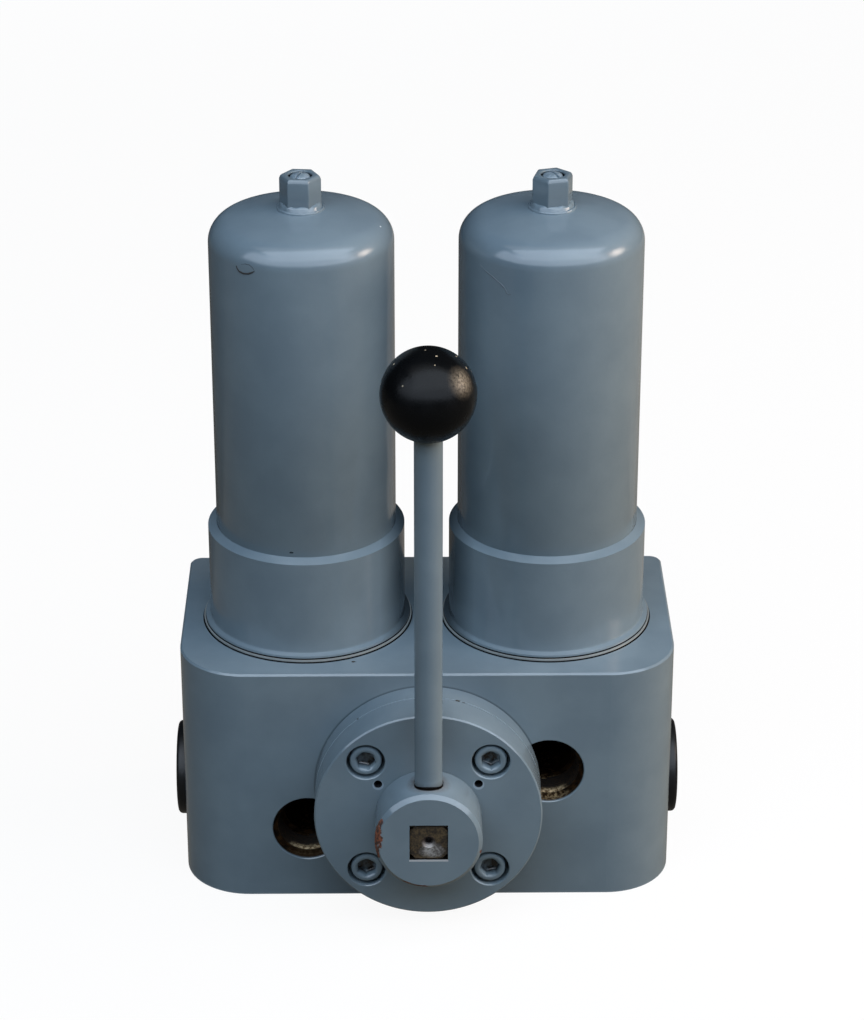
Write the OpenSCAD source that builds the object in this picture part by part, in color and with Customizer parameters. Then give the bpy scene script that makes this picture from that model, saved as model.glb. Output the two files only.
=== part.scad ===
// Duplex strainer: one head block, two upright screw-in bowls with pleated elements,
// and a rotary change-over valve at the front, worked by an upright lever.
// Origin at the centre of the block's underside, +Z up, valve and lever on -Y. Millimetres.

/* [Head block] */
// Width of the head block, along X
block_width = 275; // [260:1:320]
// Depth of the head block, along Y
block_depth = 144; // [138:1:180]
// Height of the head block
block_height = 141; // [126:1:170]
// Radius of the two front vertical corners
front_corner_radius = 37; // [8:1:45]
// Radius of the two rear vertical corners
rear_corner_radius = 7; // [3:1:30]
// Chamfer round the upper edge of the block
edge_chamfer = 1; // [0.5:0.5:3]

/* [Base bolts] */
// Distance between the base bolt holes, along X
base_bolt_pitch_x = 200; // [190:1:220]
// Distance between the base bolt holes, along Y
base_bolt_pitch_y = 90; // [70:1:104]
// Tapping radius of the base bolt holes, M12
base_bolt_radius = 5.1; // [3.4:0.1:5.1]
// Depth of the base bolt holes
base_bolt_depth = 24; // [12:1:28]

/* [Ports] */
// Height of the two side port axes
side_port_z = 41.4; // [38:0.2:44]
// Thread radius of the side ports, G1-1/2
side_port_radius = 22.4; // [19.5:0.1:23]
// Depth of the side port threads
side_port_depth = 24; // [20:1:30]
// Radius of the drilled way behind each port
gallery_radius = 16; // [12:0.5:16]
// Height of the left gauge port, on the inlet gallery
left_gauge_z = 42.9; // [40:0.1:46]
// Height of the right gauge port, on the clean way
right_gauge_z = 79.3; // [76:0.1:82]
// Radius of the counterbore at the mouth of each gauge port
gauge_mouth_radius = 19.5; // [18:0.1:20.5]
// Depth of the counterbore at the mouth of each gauge port
gauge_mouth_depth = 5; // [2:0.5:8]
// Thread radius of the gauge ports, M36 fine
gauge_port_radius = 17; // [15.5:0.1:17.5]
// Depth of the gauge port threads
gauge_port_depth = 22; // [16:1:28]
// Chamfer at the mouth of each gauge port
gauge_port_chamfer = 0.5; // [0.4:0.1:1.5]

/* [Port plugs] */
// Radius of the plug's collar
plug_collar_radius = 27; // [25:0.1:30]
// Thickness of the plug's collar
plug_collar_thickness = 6; // [4:0.5:9]
// Length of the plug's threaded shank
plug_shank_length = 18; // [12:1:19]
// Key size of the plug's hexagon socket, across flats
plug_key = 24; // [17:1:26]
// Depth of the plug's hexagon socket
plug_key_depth = 14; // [8:1:16]

/* [Bowls] */
// Distance between the two bowl axes
bowl_pitch = 134.4; // [130:0.2:140]
// Outside radius of the bowl tube
tube_radius = 50; // [46:0.1:54]
// Wall of the bowl tube and dome
tube_wall = 5; // [4:0.5:6]
// Height of the dome above the block's upper face
dome_top = 245.3; // [200:0.1:300]
// Outside radius where the tube turns into the dome
knuckle_radius = 14; // [10:0.5:20]
// Outside radius of the dome's crown
crown_radius = 150; // [120:5:200]
// Metal left between the valve bore and the threaded sockets of the bowls
socket_web = 5.2; // [4:0.1:8]
// Wall of the collar round the bowl's foot
collar_wall = 4.8; // [2.5:0.1:5.5]
// Height of the collar's edge above the block's upper face
collar_edge = 58.4; // [30:0.1:90]
// Rise of the collar's conical shoulder
collar_shoulder = 2.4; // [1:0.1:6]
// Width of the lip round the collar's foot
lip_width = 2.8; // [2:0.1:4]
// Width of the gasket ring that shows beyond the lip
gasket_margin = 1; // [0.5:0.1:1.5]
// Height of the gasket ring above the block's upper face
gasket_proud = 1.6; // [1:0.1:3]

/* [Vents] */
// Key size of the vent boss, across flats
vent_key = 19; // [17:1:22]
// Height of the vent boss above the dome's flat pad
vent_boss_height = 17.8; // [14:0.1:22]
// Turn of the left vent boss from flat to the front, degrees
left_vent_turn = -5; // [-30:1:30]
// Turn of the right vent boss from flat to the front, degrees
right_vent_turn = 16; // [-30:1:30]
// Radius of the vent screw's head
vent_head_radius = 5.3; // [5:0.1:6]
// Radius of the vent screw's threaded shank, M8
vent_shank_radius = 4; // [3:0.1:4.2]

/* [Change-over valve] */
// Height of the valve axis above the block's underside
valve_z = 70.8; // [69:0.1:73]
// Radius of the valve bore
valve_radius = 30; // [28:0.5:31]
// Radius of the spacer ring and the cover flange
cover_radius = 62.5; // [61:0.1:64]
// Thickness of the spacer ring
spacer_thickness = 12; // [8:0.5:16]
// Thickness of the cover flange
cover_thickness = 21; // [19:0.5:28]
// Distance of the cover screws from the valve axis, along X and Z
cover_screw_offset = 34; // [33:0.1:35]
// Radius of the cover screws, M12
cover_screw_radius = 6; // [5:0.5:6]
// Length of the cover screws in the block
cover_screw_grip = 20; // [14:1:24]
// Depth of a screw head's upper face below the cover's face
cover_head_sink = 1; // [0.5:0.1:2]
// Distance of the plate holes from the valve axis, along X
plate_hole_x = 27.4; // [26:0.1:29]
// Distance of the plate holes above the valve axis
plate_hole_z = 20.4; // [18:0.1:21]
// Tapping radius of the plate holes, M5
plate_hole_radius = 2.1; // [1.6:0.1:2.5]
// Depth of the plate holes
plate_hole_depth = 10; // [6:1:14]

/* [Lever] */
// Radius of the lever hub
hub_radius = 29.2; // [26:0.1:31]
// Length of the lever hub along the valve axis
hub_length = 27.6; // [24:0.1:32]
// Width of the chamfer round the hub's front edge
hub_edge = 2.2; // [1:0.1:4]
// Side of the spindle's driving square
square_side = 20; // [17:0.5:20.5]
// Depth of the square's end below the hub's front face
square_sink = 0.8; // [0.5:0.1:3]
// Radius of the spindle's journal
journal_radius = 15; // [14.5:0.1:16]
// Distance of the lever rod's axis from the hub's rear face
rod_offset = 12.5; // [10:0.1:14]
// Radius of the lever rod
rod_radius = 7.5; // [6:0.1:9]
// Distance of the ball knob's centre from the valve axis
lever_length = 257.7; // [180:0.1:300]
// Radius of the ball knob
knob_radius = 25; // [20:0.5:30]

/* [Elements] */
// Outside radius of the element's end caps
element_radius = 38.2; // [34:0.1:40]
// Number of pleats round the element
pleat_count = 40; // [24:1:48]
// Depth of the pleats
pleat_depth = 9; // [5:0.5:12]
// Height of the spring between the element and the dome
spring_height = 44; // [30:0.5:60]
// Radius of the spring wire
spring_wire = 1.6; // [1.2:0.1:2]

/* [Clearances] */
// Radial gap of the valve spool and spindle in their bores
running_gap = 0.08; // [0.05:0.01:0.1]
// Radial gap of threads that unscrew
thread_gap = 0.3; // [0.2:0.05:0.4]
// Radial gap of pieces fixed to one another
fixed_gap = 0.04; // [0.02:0.01:0.1]
// Gap between the hub and the cover flange
hub_gap = 0.4; // [0.2:0.1:1]

/* [Hidden] */
$fn = 96;
past = 1;
hex_corner = 1 / cos(30);

// O-rings: cord radius, groove depth, and room beside the cord in its groove
cord = 1.5;
groove_depth = 2 * cord - 0.1;
groove_room = 0.3;
groove_width = 2 * (cord + groove_room);

// Heights in the block, from its underside
socket_floor = valve_z + valve_radius + socket_web;
socket_depth = block_height - socket_floor;
clean_way_z = valve_z + 13;
front_y = -block_depth / 2;

// Drilled ways
feed_radius = 8.5;
feed_slope = 47;
feed_overrun = 4;
clean_radius = 10;
clean_start = 20;
port_way_radius = 11;
port_way_drop = 15;
port_way_start = 4;
gallery_end = 44;
gauge_way_radius = 14;
tap_runout = 4;

// Bowl, from the block's upper face
foot_room = 2;
tube_foot = foot_room - socket_depth;
tube_groove_z = tube_foot + 6;
socket_radius = tube_radius + thread_gap;
collar_radius = tube_radius + collar_wall;
lip_radius = collar_radius + lip_width;
lip_thickness = 1.8;
lip_slope = 2.2;
lip_groove = 0.6;
gasket_radius = lip_radius + gasket_margin;
gasket_recess = 1.2;
gasket_gap = 0.5;
pad_radius = 13;
pad_top = dome_top - crown_radius + sqrt(pow(crown_radius, 2) - pow(pad_radius, 2));

// Vent, from the dome's flat pad
weld_height = 3;
weld_radius = 12.5;
weld_reach = 0.6;
vent_recess = 5;
vent_recess_gap = 0.7;
vent_edge_width = 0.8;
vent_edge_height = 1.5;
vent_seal_thickness = 1;
vent_head_height = 3.9;
vent_dome_radius = 9;
vent_slot = 1.4;
vent_shank_foot = 2;

// Element, from the socket floor
spigot_radius = 15;
spigot_bore = 9.5;
spigot_flange = 4;
spigot_height = 26;
spigot_press = 12;
spigot_rim = 6;
spigot_groove_z = spigot_height - 8;
spigot_gap = 0.2;
clean_bore = 13;
cap_floor = 4;
cap_rim = 10;
cap_wall = 1.6;
core_radius = 20;
core_wall = 1.6;
core_hole = 4;
core_rows = 7;
spring_radius = 16;
spring_reach = spring_radius + spring_wire;
spring_gap = 0.4;
spring_seat = 0.1;
spring_cup_wall = 2;
spring_cup_height = 4;
inner_crown = crown_radius - tube_wall;
spring_room = inner_crown - sqrt(pow(inner_crown, 2) - pow(spring_reach, 2));
spring_top = socket_depth + dome_top - tube_wall - spring_room - spring_gap;
element_top = spring_top - spring_height;
pack_foot = spigot_flange + cap_floor;
pack_length = element_top - cap_floor - pack_foot;
pack_radius = element_radius - cap_wall - fixed_gap;

// Port plugs
plug_edge = 1.5;
plug_cord = 1.15;
plug_groove = 2.4;
plug_groove_inner = side_port_radius + 0.4;
plug_groove_outer = plug_groove_inner + 2.8;

// Valve, outward from the block's front face
cover_face = spacer_thickness + cover_thickness;
hub_back = cover_face + hub_gap;
hub_face = hub_back + hub_length;
lever_plane = hub_back + rod_offset;
washer_thickness = 3;
washer_radius = 29;
spool_front = spacer_thickness - washer_thickness;
spool_radius = valve_radius - running_gap;
spool_core = 16;
spool_room = 1;
waist_length = 38;
waist_start = 44;
land_length = 12;
front_waist = block_depth / 2 - waist_start;
rear_waist = front_waist + waist_length + land_length;
valve_depth = rear_waist + waist_length + 6;
spool_grooves = [-front_waist / 2, -front_waist - waist_length - land_length / 2];
feed_shutter = 20;
clean_shutter = 38;
seal_depth = 6;
seal_wall = 5;
seal_sink = 0.5;
bush_wall = 3;
screw_head_radius = 1.5 * cover_screw_radius;
screw_head_height = 2 * cover_screw_radius;
screw_head_foot = cover_face - cover_head_sink - screw_head_height;
screw_head_gap = 1.5;
screw_hole_gap = 0.6;
screw_key = 10 / 6 * cover_screw_radius;
cover_edge = 0.8;
screw_bore_edge = 0.5;
spacer_bore = valve_radius + 1;
cover_cord = 1.6;
cover_cord_radius = valve_radius + 7;
cover_squeeze = 0.1;

// Lever
square_gap = 0.2;
square_corner = 2;
centre_radius = 1.6;
centre_depth = 5;
countersink_radius = 3.6;
countersink_depth = 2;
rod_mouth = 1.5;
rod_mouth_gap = 0.8;
rod_neck = 5.8;
rod_foot = (square_side + fixed_gap) / 2;
insert_radius = 8.5;
insert_length = 22;
insert_floor = 2;
knob_flat = 10;
knob_foot = lever_length - sqrt(pow(knob_radius, 2) - pow(knob_flat, 2));

SIDES = [["left", -1], ["right", 1]];
ONE_OFF = ["filter_head", "spacer_ring", "cover_flange", "cover_screws", "cover_o_rings",
    "spindle_bush", "spindle_seal", "thrust_washer", "valve_spool", "spool_o_rings", "lever_hub",
    "lever_rod", "ball_knob", "knob_insert"];
PER_SIDE = ["bowl_tube", "bowl_collar", "bowl_o_ring", "bowl_gasket", "vent_boss", "vent_screw",
    "vent_seal", "element_spigot", "spigot_o_ring", "element_foot_cap", "element_core", "element_pleats",
    "element_top_cap", "element_spring", "port_plug", "plug_seal"];

// Local frames: each puts its children's z axis on a line of the assembly

// Bowl axis, z = 0 at the block's upper face
module on_bowl(side) {
    translate([side * bowl_pitch / 2, 0, block_height])
        children();
}

// Element axis, z = 0 at the socket floor
module on_socket(side) {
    translate([side * bowl_pitch / 2, 0, socket_floor])
        children();
}

// Vent axis, z = 0 at the dome's flat pad, turned as the boss was welded on
module on_pad(side) {
    translate([0, 0, pad_top])
        on_bowl(side)
            rotate([0, 0, side < 0 ? left_vent_turn : right_vent_turn])
                children();
}

// Valve axis, z outward from the block's front face, y up
module on_valve() {
    translate([0, front_y, valve_z])
        rotate([90, 0, 0])
            children();
}

// Lever axis, z up from the valve axis
module on_lever() {
    translate([0, front_y - lever_plane, valve_z])
        children();
}

// Side port axis, z outward from the block's side face
module on_side_port(side) {
    translate([side * block_width / 2, 0, side_port_z])
        rotate([0, side * 90, 0])
            children();
}

// Gauge port axis, z outward from the block's front face
module on_gauge_port(side) {
    translate([side * bowl_pitch / 2, front_y, side < 0 ? left_gauge_z : right_gauge_z])
        rotate([90, 0, 0])
            children();
}

// Shared shapes

module tube(outer, inner, height) {
    difference() {
        cylinder(r = outer, h = height);
        translate([0, 0, -past])
            cylinder(r = inner, h = height + 2 * past);
    }
}

module o_ring(centre_radius, cord_radius) {
    rotate_extrude()
        translate([centre_radius, 0])
            circle(r = cord_radius);
}

module hexagon(key, height) {
    rotate([0, 0, 30])
        cylinder(r = key / 2 * hex_corner, h = height, $fn = 6);
}

// Straight drilling from point a to point b
module drilling(a, b, radius) {
    way = b - a;
    length = norm(way);
    translate(a)
        rotate([0, acos(way[2] / length), atan2(way[1], way[0])])
            cylinder(r = radius, h = length);
}

module at_cover_screws() {
    for (x = [-1, 1], y = [-1, 1])
        translate([x * cover_screw_offset, y * cover_screw_offset, 0])
            children();
}

// Head block

// Side view of a strip of the block, with the upper edge chamfered at x = far
module edge_profile(near, far) {
    polygon([[near, 0], [far, 0], [far, block_height - edge_chamfer],
        [far - edge_chamfer, block_height], [near, block_height]]);
}

module block_corner(radius) {
    rotate_extrude(angle = 90)
        edge_profile(0, radius);
}

module edge_strip(radius) {
    rotate([90, 0, 90])
        translate([0, 0, radius - block_width / 2])
            linear_extrude(height = block_width - 2 * radius)
                edge_profile(block_depth / 2 - radius, block_depth / 2);
}

module block_body() {
    half = block_width / 2;
    translate([0, block_depth / 2 - rear_corner_radius, 0])
        rotate([90, 0, 0])
            linear_extrude(height = block_depth - front_corner_radius - rear_corner_radius) {
                edge_profile(-past, half);
                mirror([1, 0])
                    edge_profile(-past, half);
            }
    edge_strip(rear_corner_radius);
    mirror([0, 1, 0])
        edge_strip(front_corner_radius);
    for (m = [0, 1])
        mirror([m, 0, 0]) {
            translate([half - rear_corner_radius, block_depth / 2 - rear_corner_radius, 0])
                block_corner(rear_corner_radius);
            mirror([0, 1, 0])
                translate([half - front_corner_radius, block_depth / 2 - front_corner_radius, 0])
                    block_corner(front_corner_radius);
        }
}

// Threaded socket, gasket recess and central clean bore under one bowl
module bowl_socket() {
    translate([0, 0, -socket_depth])
        cylinder(r = socket_radius, h = socket_depth + past);
    translate([0, 0, -gasket_recess])
        cylinder(r = gasket_radius + gasket_gap, h = gasket_recess + past);
    translate([0, 0, clean_way_z - clean_bore - block_height])
        cylinder(r = clean_bore, h = block_height - clean_way_z + clean_bore - socket_depth + past);
}

// Drilled ways that join ports, valve bore and sockets on one side
module flow_ways(side) {
    way_y = front_y + front_waist + waist_length / 2;
    clean_y = front_y + rear_waist + waist_length / 2;
    feed_y = side < 0 ? way_y : clean_y;
    rise = socket_floor + feed_overrun - valve_z;
    drilling([0, way_y, valve_z], [side * rise * tan(feed_slope), way_y, valve_z + rise], feed_radius);
    drilling([side * bowl_pitch / 2, 0, clean_way_z], [side * clean_start, clean_y, clean_way_z],
        clean_radius);
    drilling([side * (gallery_end + past), 0, side_port_z],
        [side * port_way_start, feed_y, valve_z - port_way_drop], port_way_radius);
    on_side_port(side) {
        translate([0, 0, -side_port_depth])
            cylinder(r = side_port_radius, h = side_port_depth + past);
        translate([0, 0, gallery_end - block_width / 2])
            cylinder(r = gallery_radius, h = block_width / 2 - gallery_end);
    }
    on_gauge_port(side) {
        translate([0, 0, -gauge_mouth_depth])
            cylinder(r = gauge_mouth_radius, h = gauge_mouth_depth + past);
        translate([0, 0, -gauge_port_depth])
            cylinder(r = gauge_port_radius, h = gauge_port_depth);
        translate([0, 0, front_y])
            cylinder(r = gauge_way_radius, h = -front_y);
        translate([0, 0, -gauge_port_chamfer])
            cylinder(r1 = gauge_mouth_radius, r2 = gauge_mouth_radius + 2 * gauge_port_chamfer,
                h = 2 * gauge_port_chamfer);
    }
}

module filter_head() {
    color("lightslategray")
        difference() {
            block_body();
            for (s = SIDES) {
                on_bowl(s[1])
                    bowl_socket();
                flow_ways(s[1]);
            }
            on_valve() {
                translate([0, 0, -valve_depth])
                    cylinder(r = valve_radius, h = valve_depth + past);
                translate([0, 0, -cover_screw_grip - tap_runout])
                    at_cover_screws()
                        cylinder(r = cover_screw_radius + fixed_gap,
                            h = cover_screw_grip + tap_runout + past);
            }
            for (x = [-1, 1], y = [-1, 1])
                translate([x * base_bolt_pitch_x / 2, y * base_bolt_pitch_y / 2, -past])
                    cylinder(r = base_bolt_radius, h = base_bolt_depth + past);
        }
}

// Bowl

// Half section of a tube with a dished end: the knuckle and the crown meet tangent
module dished_section(radius, knuckle, crown, top, foot) {
    centre = [0, top - crown];
    reach = radius - knuckle;
    knuckle_z = centre[1] + sqrt(pow(crown - knuckle, 2) - pow(reach, 2));
    meet = [reach, knuckle_z - centre[1]] * crown * 1.1 / (crown - knuckle) + centre;
    translate([0, foot])
        square([radius, knuckle_z - foot]);
    translate([reach, knuckle_z])
        circle(r = knuckle);
    intersection() {
        translate(centre)
            circle(r = crown);
        polygon([[0, knuckle_z], [reach, knuckle_z], meet, [0, meet[1] + past]]);
    }
}

module bowl_tube() {
    color("lightsteelblue")
        difference() {
            rotate_extrude()
                dished_section(tube_radius, knuckle_radius, crown_radius, dome_top, tube_foot);
            rotate_extrude()
                dished_section(tube_radius - tube_wall, knuckle_radius - tube_wall, crown_radius - tube_wall,
                    dome_top - tube_wall, tube_foot - past);
            translate([0, 0, tube_groove_z - groove_width / 2])
                tube(tube_radius + past, tube_radius - groove_depth, groove_width);
            translate([0, 0, pad_top])
                cylinder(r = pad_radius + past, h = dome_top);
            cylinder(r = vent_shank_radius + thread_gap, h = dome_top);
        }
}

module bowl_o_ring() {
    color("dimgray")
        translate([0, 0, tube_groove_z])
            o_ring(tube_radius - groove_depth + cord + fixed_gap, cord);
}

module bowl_collar() {
    lip_top = gasket_proud + lip_thickness;
    inner = tube_radius + fixed_gap;
    groove_wall = lip_radius - 2 * lip_groove;
    color("lightsteelblue")
        rotate_extrude()
            polygon([[inner, gasket_proud], [groove_wall, gasket_proud],
                [groove_wall, gasket_proud + lip_groove], [lip_radius, gasket_proud + lip_groove],
                [lip_radius, lip_top], [collar_radius, lip_top + lip_slope], [collar_radius, collar_edge],
                [inner, collar_edge + collar_shoulder]]);
}

module bowl_gasket() {
    color("silver")
        translate([0, 0, -gasket_recess])
            tube(gasket_radius, socket_radius + thread_gap, gasket_recess + gasket_proud);
}

// Vent

module vent_boss() {
    color("lightsteelblue")
        difference() {
            union() {
                cylinder(r1 = weld_radius, r2 = vent_key / 2 + weld_reach, h = weld_height);
                hull() {
                    hexagon(vent_key, vent_boss_height - vent_edge_height);
                    hexagon(vent_key - 2 * vent_edge_width, vent_boss_height);
                }
            }
            translate([0, 0, vent_boss_height - vent_recess])
                cylinder(r = vent_head_radius + vent_recess_gap, h = vent_recess + past);
            translate([0, 0, -past])
                cylinder(r = vent_shank_radius + thread_gap, h = vent_boss_height);
        }
}

module vent_seal() {
    color("peru")
        translate([0, 0, vent_boss_height - vent_recess])
            tube(vent_head_radius, vent_shank_radius + thread_gap, vent_seal_thickness);
}

module vent_screw() {
    head_foot = vent_boss_height - vent_recess + vent_seal_thickness;
    head_top = head_foot + vent_head_height;
    color("lightsteelblue")
        difference() {
            union() {
                translate([0, 0, vent_shank_foot])
                    cylinder(r = vent_shank_radius, h = head_foot);
                intersection() {
                    translate([0, 0, head_foot])
                        cylinder(r = vent_head_radius, h = vent_head_height);
                    translate([0, 0, head_top - vent_dome_radius])
                        sphere(r = vent_dome_radius);
                }
            }
            translate([-vent_head_radius - past, -vent_slot / 2, head_top - vent_slot])
                cube([2 * (vent_head_radius + past), vent_slot, vent_slot + past]);
        }
}

// Element

module element_spigot() {
    color("lightgray")
        difference() {
            union() {
                translate([0, 0, -spigot_press])
                    cylinder(r = clean_bore - fixed_gap, h = spigot_press + past);
                cylinder(r = spigot_radius + spigot_rim, h = spigot_flange);
                cylinder(r = spigot_radius, h = spigot_height);
            }
            translate([0, 0, -spigot_press - past])
                cylinder(r = spigot_bore, h = spigot_height + spigot_press + 2 * past);
            translate([0, 0, spigot_groove_z])
                tube(spigot_radius + past, spigot_radius - groove_depth, groove_width);
        }
}

module spigot_o_ring() {
    color("dimgray")
        translate([0, 0, spigot_groove_z + groove_width / 2])
            o_ring(spigot_radius - groove_depth + cord + fixed_gap, cord);
}

module element_foot_cap() {
    color("gainsboro")
        translate([0, 0, spigot_flange])
            difference() {
                cylinder(r = element_radius, h = cap_rim + cap_floor);
                translate([0, 0, cap_floor])
                    tube(element_radius - cap_wall, core_radius - core_wall - fixed_gap, cap_rim + past);
                translate([0, 0, -past])
                    cylinder(r = spigot_radius + spigot_gap, h = cap_rim + cap_floor + 2 * past);
            }
}

module element_core() {
    row_pitch = pack_length / (core_rows + 1);
    color("silver")
        translate([0, 0, pack_foot])
            difference() {
                tube(core_radius, core_radius - core_wall, pack_length);
                for (row = [1 : core_rows], turn = [0, 60, 120])
                    translate([0, 0, row * row_pitch])
                        rotate([0, 0, turn + (row % 2) * 30])
                            rotate([90, 0, 0])
                                cylinder(r = core_hole, h = 3 * core_radius, center = true);
            }
}

// Folded filter cloth: deep valleys between narrow crests, all round the core
module element_pleats() {
    step = 360 / pleat_count;
    valley = pack_radius - pleat_depth;
    points = [for (i = [0 : pleat_count - 1], k = [0, 1, 2])
        let (a = (i + [0, 0.3, 0.65][k]) * step, r = k < 2 ? pack_radius : valley)
            [r * cos(a), r * sin(a)]];
    color("ivory")
        translate([0, 0, pack_foot])
            difference() {
                linear_extrude(height = pack_length)
                    polygon(points);
                translate([0, 0, -past])
                    cylinder(r = core_radius + fixed_gap, h = pack_length + 2 * past);
            }
}

module element_top_cap() {
    color("gainsboro")
        translate([0, 0, element_top - cap_floor - cap_rim]) {
            tube(element_radius, element_radius - cap_wall, cap_rim + cap_floor);
            translate([0, 0, cap_rim])
                cylinder(r = element_radius - cap_wall + past / 2, h = cap_floor);
            translate([0, 0, cap_rim + cap_floor - past])
                tube(spring_reach + spring_gap + spring_cup_wall, spring_reach + spring_gap,
                    spring_cup_height + past);
        }
}

// Compression spring with closed end coils
function coil_rise(t, turns, height) =
    let (closed = 2 * spring_wire + 0.5, open = (height - 2 * closed) / (turns - 2))
        t < 1 ? closed * t : t > turns - 1 ? height - closed * (turns - t) : closed + open * (t - 1);

module element_spring() {
    turns = 5.5;
    steps = 14;
    sides = 8;
    rings = turns * steps;
    rise = spring_height - 2 * spring_wire - spring_seat;
    points = [for (i = [0 : rings], j = [0 : sides - 1])
        let (a = i * 360 / steps, b = j * 360 / sides, r = spring_radius + spring_wire * cos(b))
            [r * cos(a), r * sin(a), coil_rise(i / steps, turns, rise) + spring_wire * sin(b)]];
    walls = [for (i = [0 : rings - 1], j = [0 : sides - 1])
        let (k = (j + 1) % sides)
            [i * sides + j, i * sides + k, (i + 1) * sides + k, (i + 1) * sides + j]];
    ends = [[for (j = [0 : sides - 1]) sides - 1 - j], [for (j = [0 : sides - 1]) rings * sides + j]];
    color("darkgray")
        translate([0, 0, element_top + spring_wire + spring_seat])
            polyhedron(points = points, faces = concat(walls, ends), convexity = 8);
}

// Side ports

module port_plug() {
    color("black")
        difference() {
            union() {
                rotate_extrude()
                    polygon([[0, 0], [plug_collar_radius, 0],
                        [plug_collar_radius, plug_collar_thickness - plug_edge],
                        [plug_collar_radius - plug_edge, plug_collar_thickness], [0, plug_collar_thickness]]);
                translate([0, 0, -plug_shank_length])
                    cylinder(r = side_port_radius - thread_gap, h = plug_shank_length + past);
            }
            translate([0, 0, plug_collar_thickness - plug_key_depth])
                hexagon(plug_key, plug_key_depth + past);
            translate([0, 0, -past])
                tube(plug_groove_outer, plug_groove_inner, plug_groove + past);
        }
}

module plug_seal() {
    color("dimgray")
        translate([0, 0, plug_groove / 2])
            o_ring((plug_groove_inner + plug_groove_outer) / 2, plug_cord);
}

// Change-over valve

module spacer_ring() {
    groove_reach = cover_cord + groove_room;
    color("lightslategray")
        difference() {
            tube(cover_radius, spacer_bore, spacer_thickness);
            for (z = [-past, spacer_thickness - 2 * cover_cord + cover_squeeze])
                translate([0, 0, z])
                    tube(cover_cord_radius + groove_reach, cover_cord_radius - groove_reach,
                        2 * cover_cord - cover_squeeze + past);
            translate([0, 0, -past])
                at_cover_screws()
                    cylinder(r = cover_screw_radius + screw_hole_gap, h = spacer_thickness + 2 * past);
        }
}

// Cone that chamfers the mouth of a hole in the cover's face
module chamfered_mouth(radius, edge) {
    translate([0, 0, cover_face - edge])
        cylinder(r1 = radius, r2 = radius + edge + past, h = edge + past);
}

module cover_flange() {
    color("lightslategray")
        difference() {
            rotate_extrude()
                polygon([[0, spacer_thickness], [cover_radius - cover_edge, spacer_thickness],
                    [cover_radius, spacer_thickness + cover_edge], [cover_radius, cover_face - cover_edge],
                    [cover_radius - cover_edge, cover_face], [0, cover_face]]);
            cylinder(r = journal_radius + running_gap + bush_wall, h = cover_face + past);
            translate([0, 0, cover_face - seal_depth])
                cylinder(r = journal_radius + seal_wall, h = seal_depth + past);
            at_cover_screws() {
                cylinder(r = cover_screw_radius + screw_hole_gap, h = cover_face);
                translate([0, 0, screw_head_foot])
                    cylinder(r = screw_head_radius + screw_head_gap, h = cover_face);
                chamfered_mouth(screw_head_radius + screw_head_gap, screw_bore_edge);
            }
            for (x = [-1, 1])
                translate([x * plate_hole_x, plate_hole_z, cover_face - plate_hole_depth])
                    cylinder(r = plate_hole_radius, h = plate_hole_depth + past);
        }
}

module cover_screws() {
    color("lightslategray")
        at_cover_screws()
            difference() {
                union() {
                    translate([0, 0, screw_head_foot])
                        cylinder(r = screw_head_radius, h = screw_head_height);
                    translate([0, 0, -cover_screw_grip])
                        cylinder(r = cover_screw_radius, h = cover_screw_grip + screw_head_foot + past);
                }
                translate([0, 0, screw_head_foot + screw_head_height / 2])
                    hexagon(screw_key, screw_head_height);
            }
}

module cover_o_rings() {
    color("dimgray")
        for (z = [cover_cord - cover_squeeze / 2, spacer_thickness - cover_cord + cover_squeeze / 2])
            translate([0, 0, z])
                o_ring(cover_cord_radius, cover_cord - cover_squeeze);
}

module spindle_bush() {
    color("goldenrod")
        translate([0, 0, spacer_thickness])
            tube(journal_radius + running_gap + bush_wall - fixed_gap, journal_radius + running_gap,
                cover_thickness - seal_depth);
}

module spindle_seal() {
    color("dimgray")
        translate([0, 0, cover_face - seal_depth])
            tube(journal_radius + seal_wall - fixed_gap, journal_radius + running_gap,
                seal_depth - seal_sink);
}

module thrust_washer() {
    color("goldenrod")
        translate([0, 0, spool_front])
            tube(washer_radius, journal_radius + running_gap, washer_thickness);
}

// One land that shuts a drilling when the spool turns towards it
module shutter(half_angle) {
    reach = 2 * spool_radius;
    intersection() {
        cylinder(r = spool_radius, h = waist_length);
        linear_extrude(height = waist_length)
            polygon([[0, 0], [reach * sin(half_angle), reach * cos(half_angle)],
                [-reach * sin(half_angle), reach * cos(half_angle)]]);
    }
}

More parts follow.
